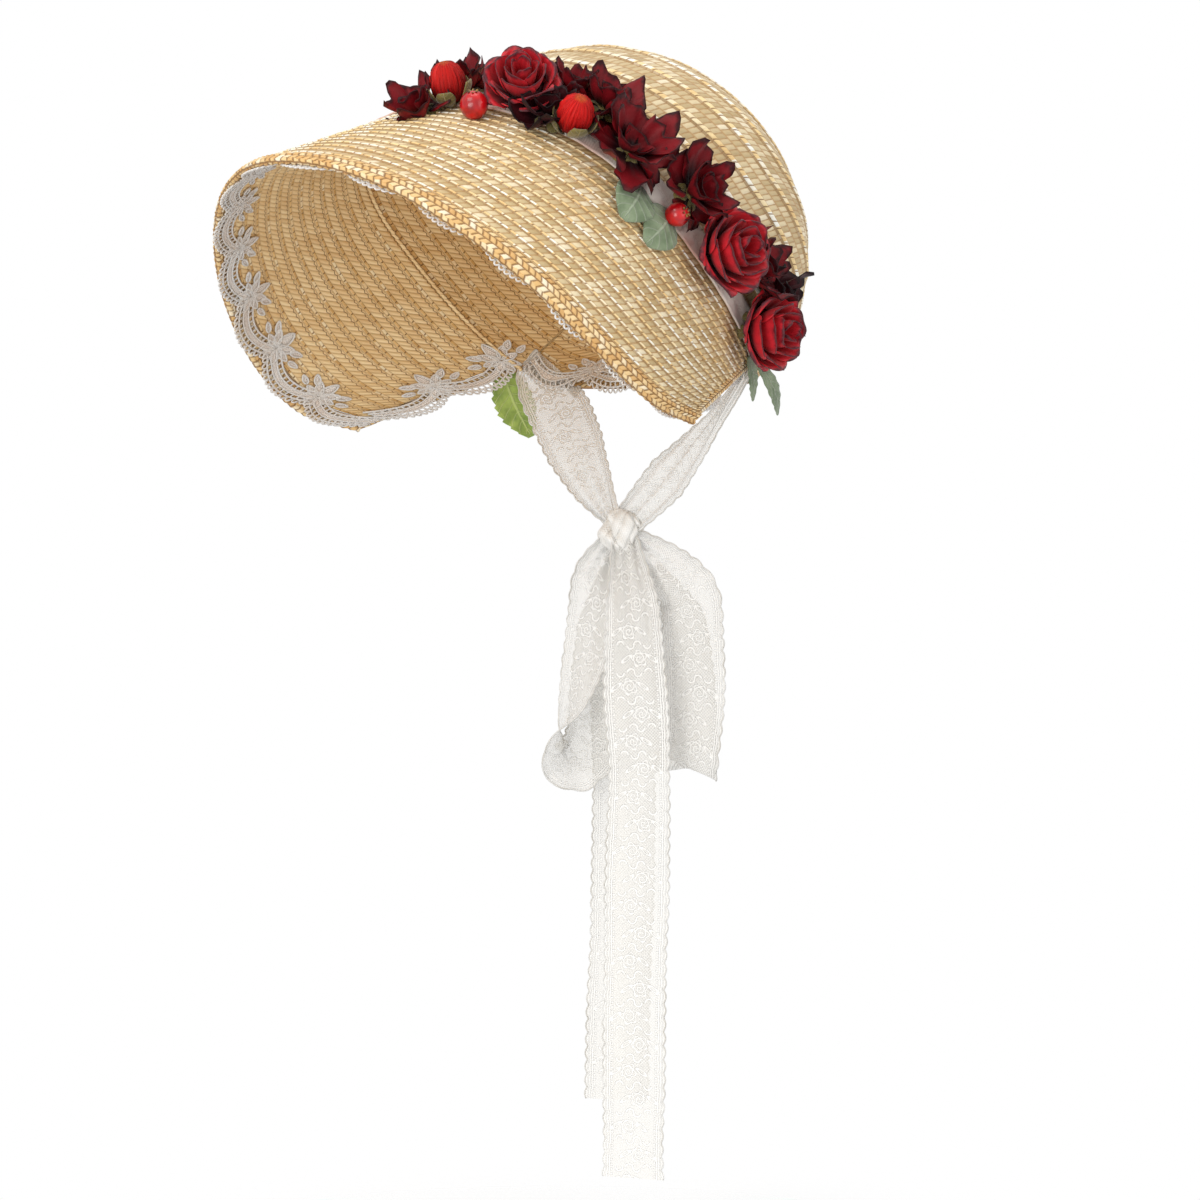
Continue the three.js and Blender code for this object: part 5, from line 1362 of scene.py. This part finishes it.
# %% [markdown]
# ## Studio
#
# The bonnet hangs over a plain white ground. Even light comes from all round. One lamp from the
# upper left and one from the front shape the straw, and two weaker ones, on the right and above,
# open the shadows. A pale disc below takes the ribbon's soft shadow and fades out to its edge.

# %% World and lamps
world = bpy.data.worlds.new("studio")
bpy.context.scene.world = world
world.use_nodes = True
tree = world.node_tree
tree.nodes.clear()
shades = []
for strength in (0.76, 1.0):
    shade = tree.nodes.new("ShaderNodeBackground")
    shade.inputs["Color"].default_value = (1, 1, 1, 1)
    shade.inputs["Strength"].default_value = strength
    shades.append(shade)
mix = tree.nodes.new("ShaderNodeMixShader")
path = tree.nodes.new("ShaderNodeLightPath")
output = tree.nodes.new("ShaderNodeOutputWorld")
tree.links.new(path.outputs["Is Camera Ray"], mix.inputs[0])
tree.links.new(shades[0].outputs[0], mix.inputs[1])
tree.links.new(shades[1].outputs[0], mix.inputs[2])
tree.links.new(mix.outputs[0], output.inputs["Surface"])


def lamp(name, place, size, watts):
    """A square lamp that looks at the middle of the bonnet and its bow."""
    data = bpy.data.lights.new(name, "AREA")
    data.energy, data.size, data.color = watts, size, (1.0, 0.98, 0.95)
    thing = bpy.data.objects.new(name, data)
    bpy.context.scene.collection.objects.link(thing)
    away = unit(place - np.array([0, 0, -0.1]))
    side = unit(np.cross([0, 0, 1.0], away))
    turn = np.eye(4)
    turn[:3] = np.stack([side, np.cross(away, side), away, place], 1)
    thing.matrix_world = Matrix(turn.tolist())


lamp("key", right * -0.9 + back * 1.3 + up * 1.1, 0.9, 9)
lamp("front", right * -0.8 + back * 1.8 - up * 0.2, 0.8, 11)
lamp("fill", right * 1.4 + back * 1.0 + up * 0.1, 1.2, 5)
lamp("top", up * 1.6 + back * 0.2, 1.0, 6)

# %% Ground
ground = Finish("ground", Base_Color=(1, 1, 1, 1), Roughness=1.0)
clear = ground.node("ShaderNodeBsdfTransparent").outputs[0]
place = ground.node("ShaderNodeTexCoord").outputs["Object"]
away = ground.node("ShaderNodeVectorMath", {"operation": "LENGTH"}, [place]).outputs["Value"]
fade = Signal(ground, away).rise(0.02, 0.3)
fading = ground.node("ShaderNodeMixShader", {}, [fade, ground.shader.outputs[0], clear])
final = next(n for n in ground.tree.nodes if n.type == "OUTPUT_MATERIAL")
ground.tree.links.new(fading.outputs[0], final.inputs["Surface"])
bpy.ops.mesh.primitive_circle_add(vertices=96, radius=0.5, fill_type="NGON", location=(0, 0, -0.47))
floor = bpy.context.object
floor.name = "ground"
floor.data.materials.append(ground.material)
bpy.context.scene.view_settings.view_transform = "Standard"
print("lamps and ground are set")
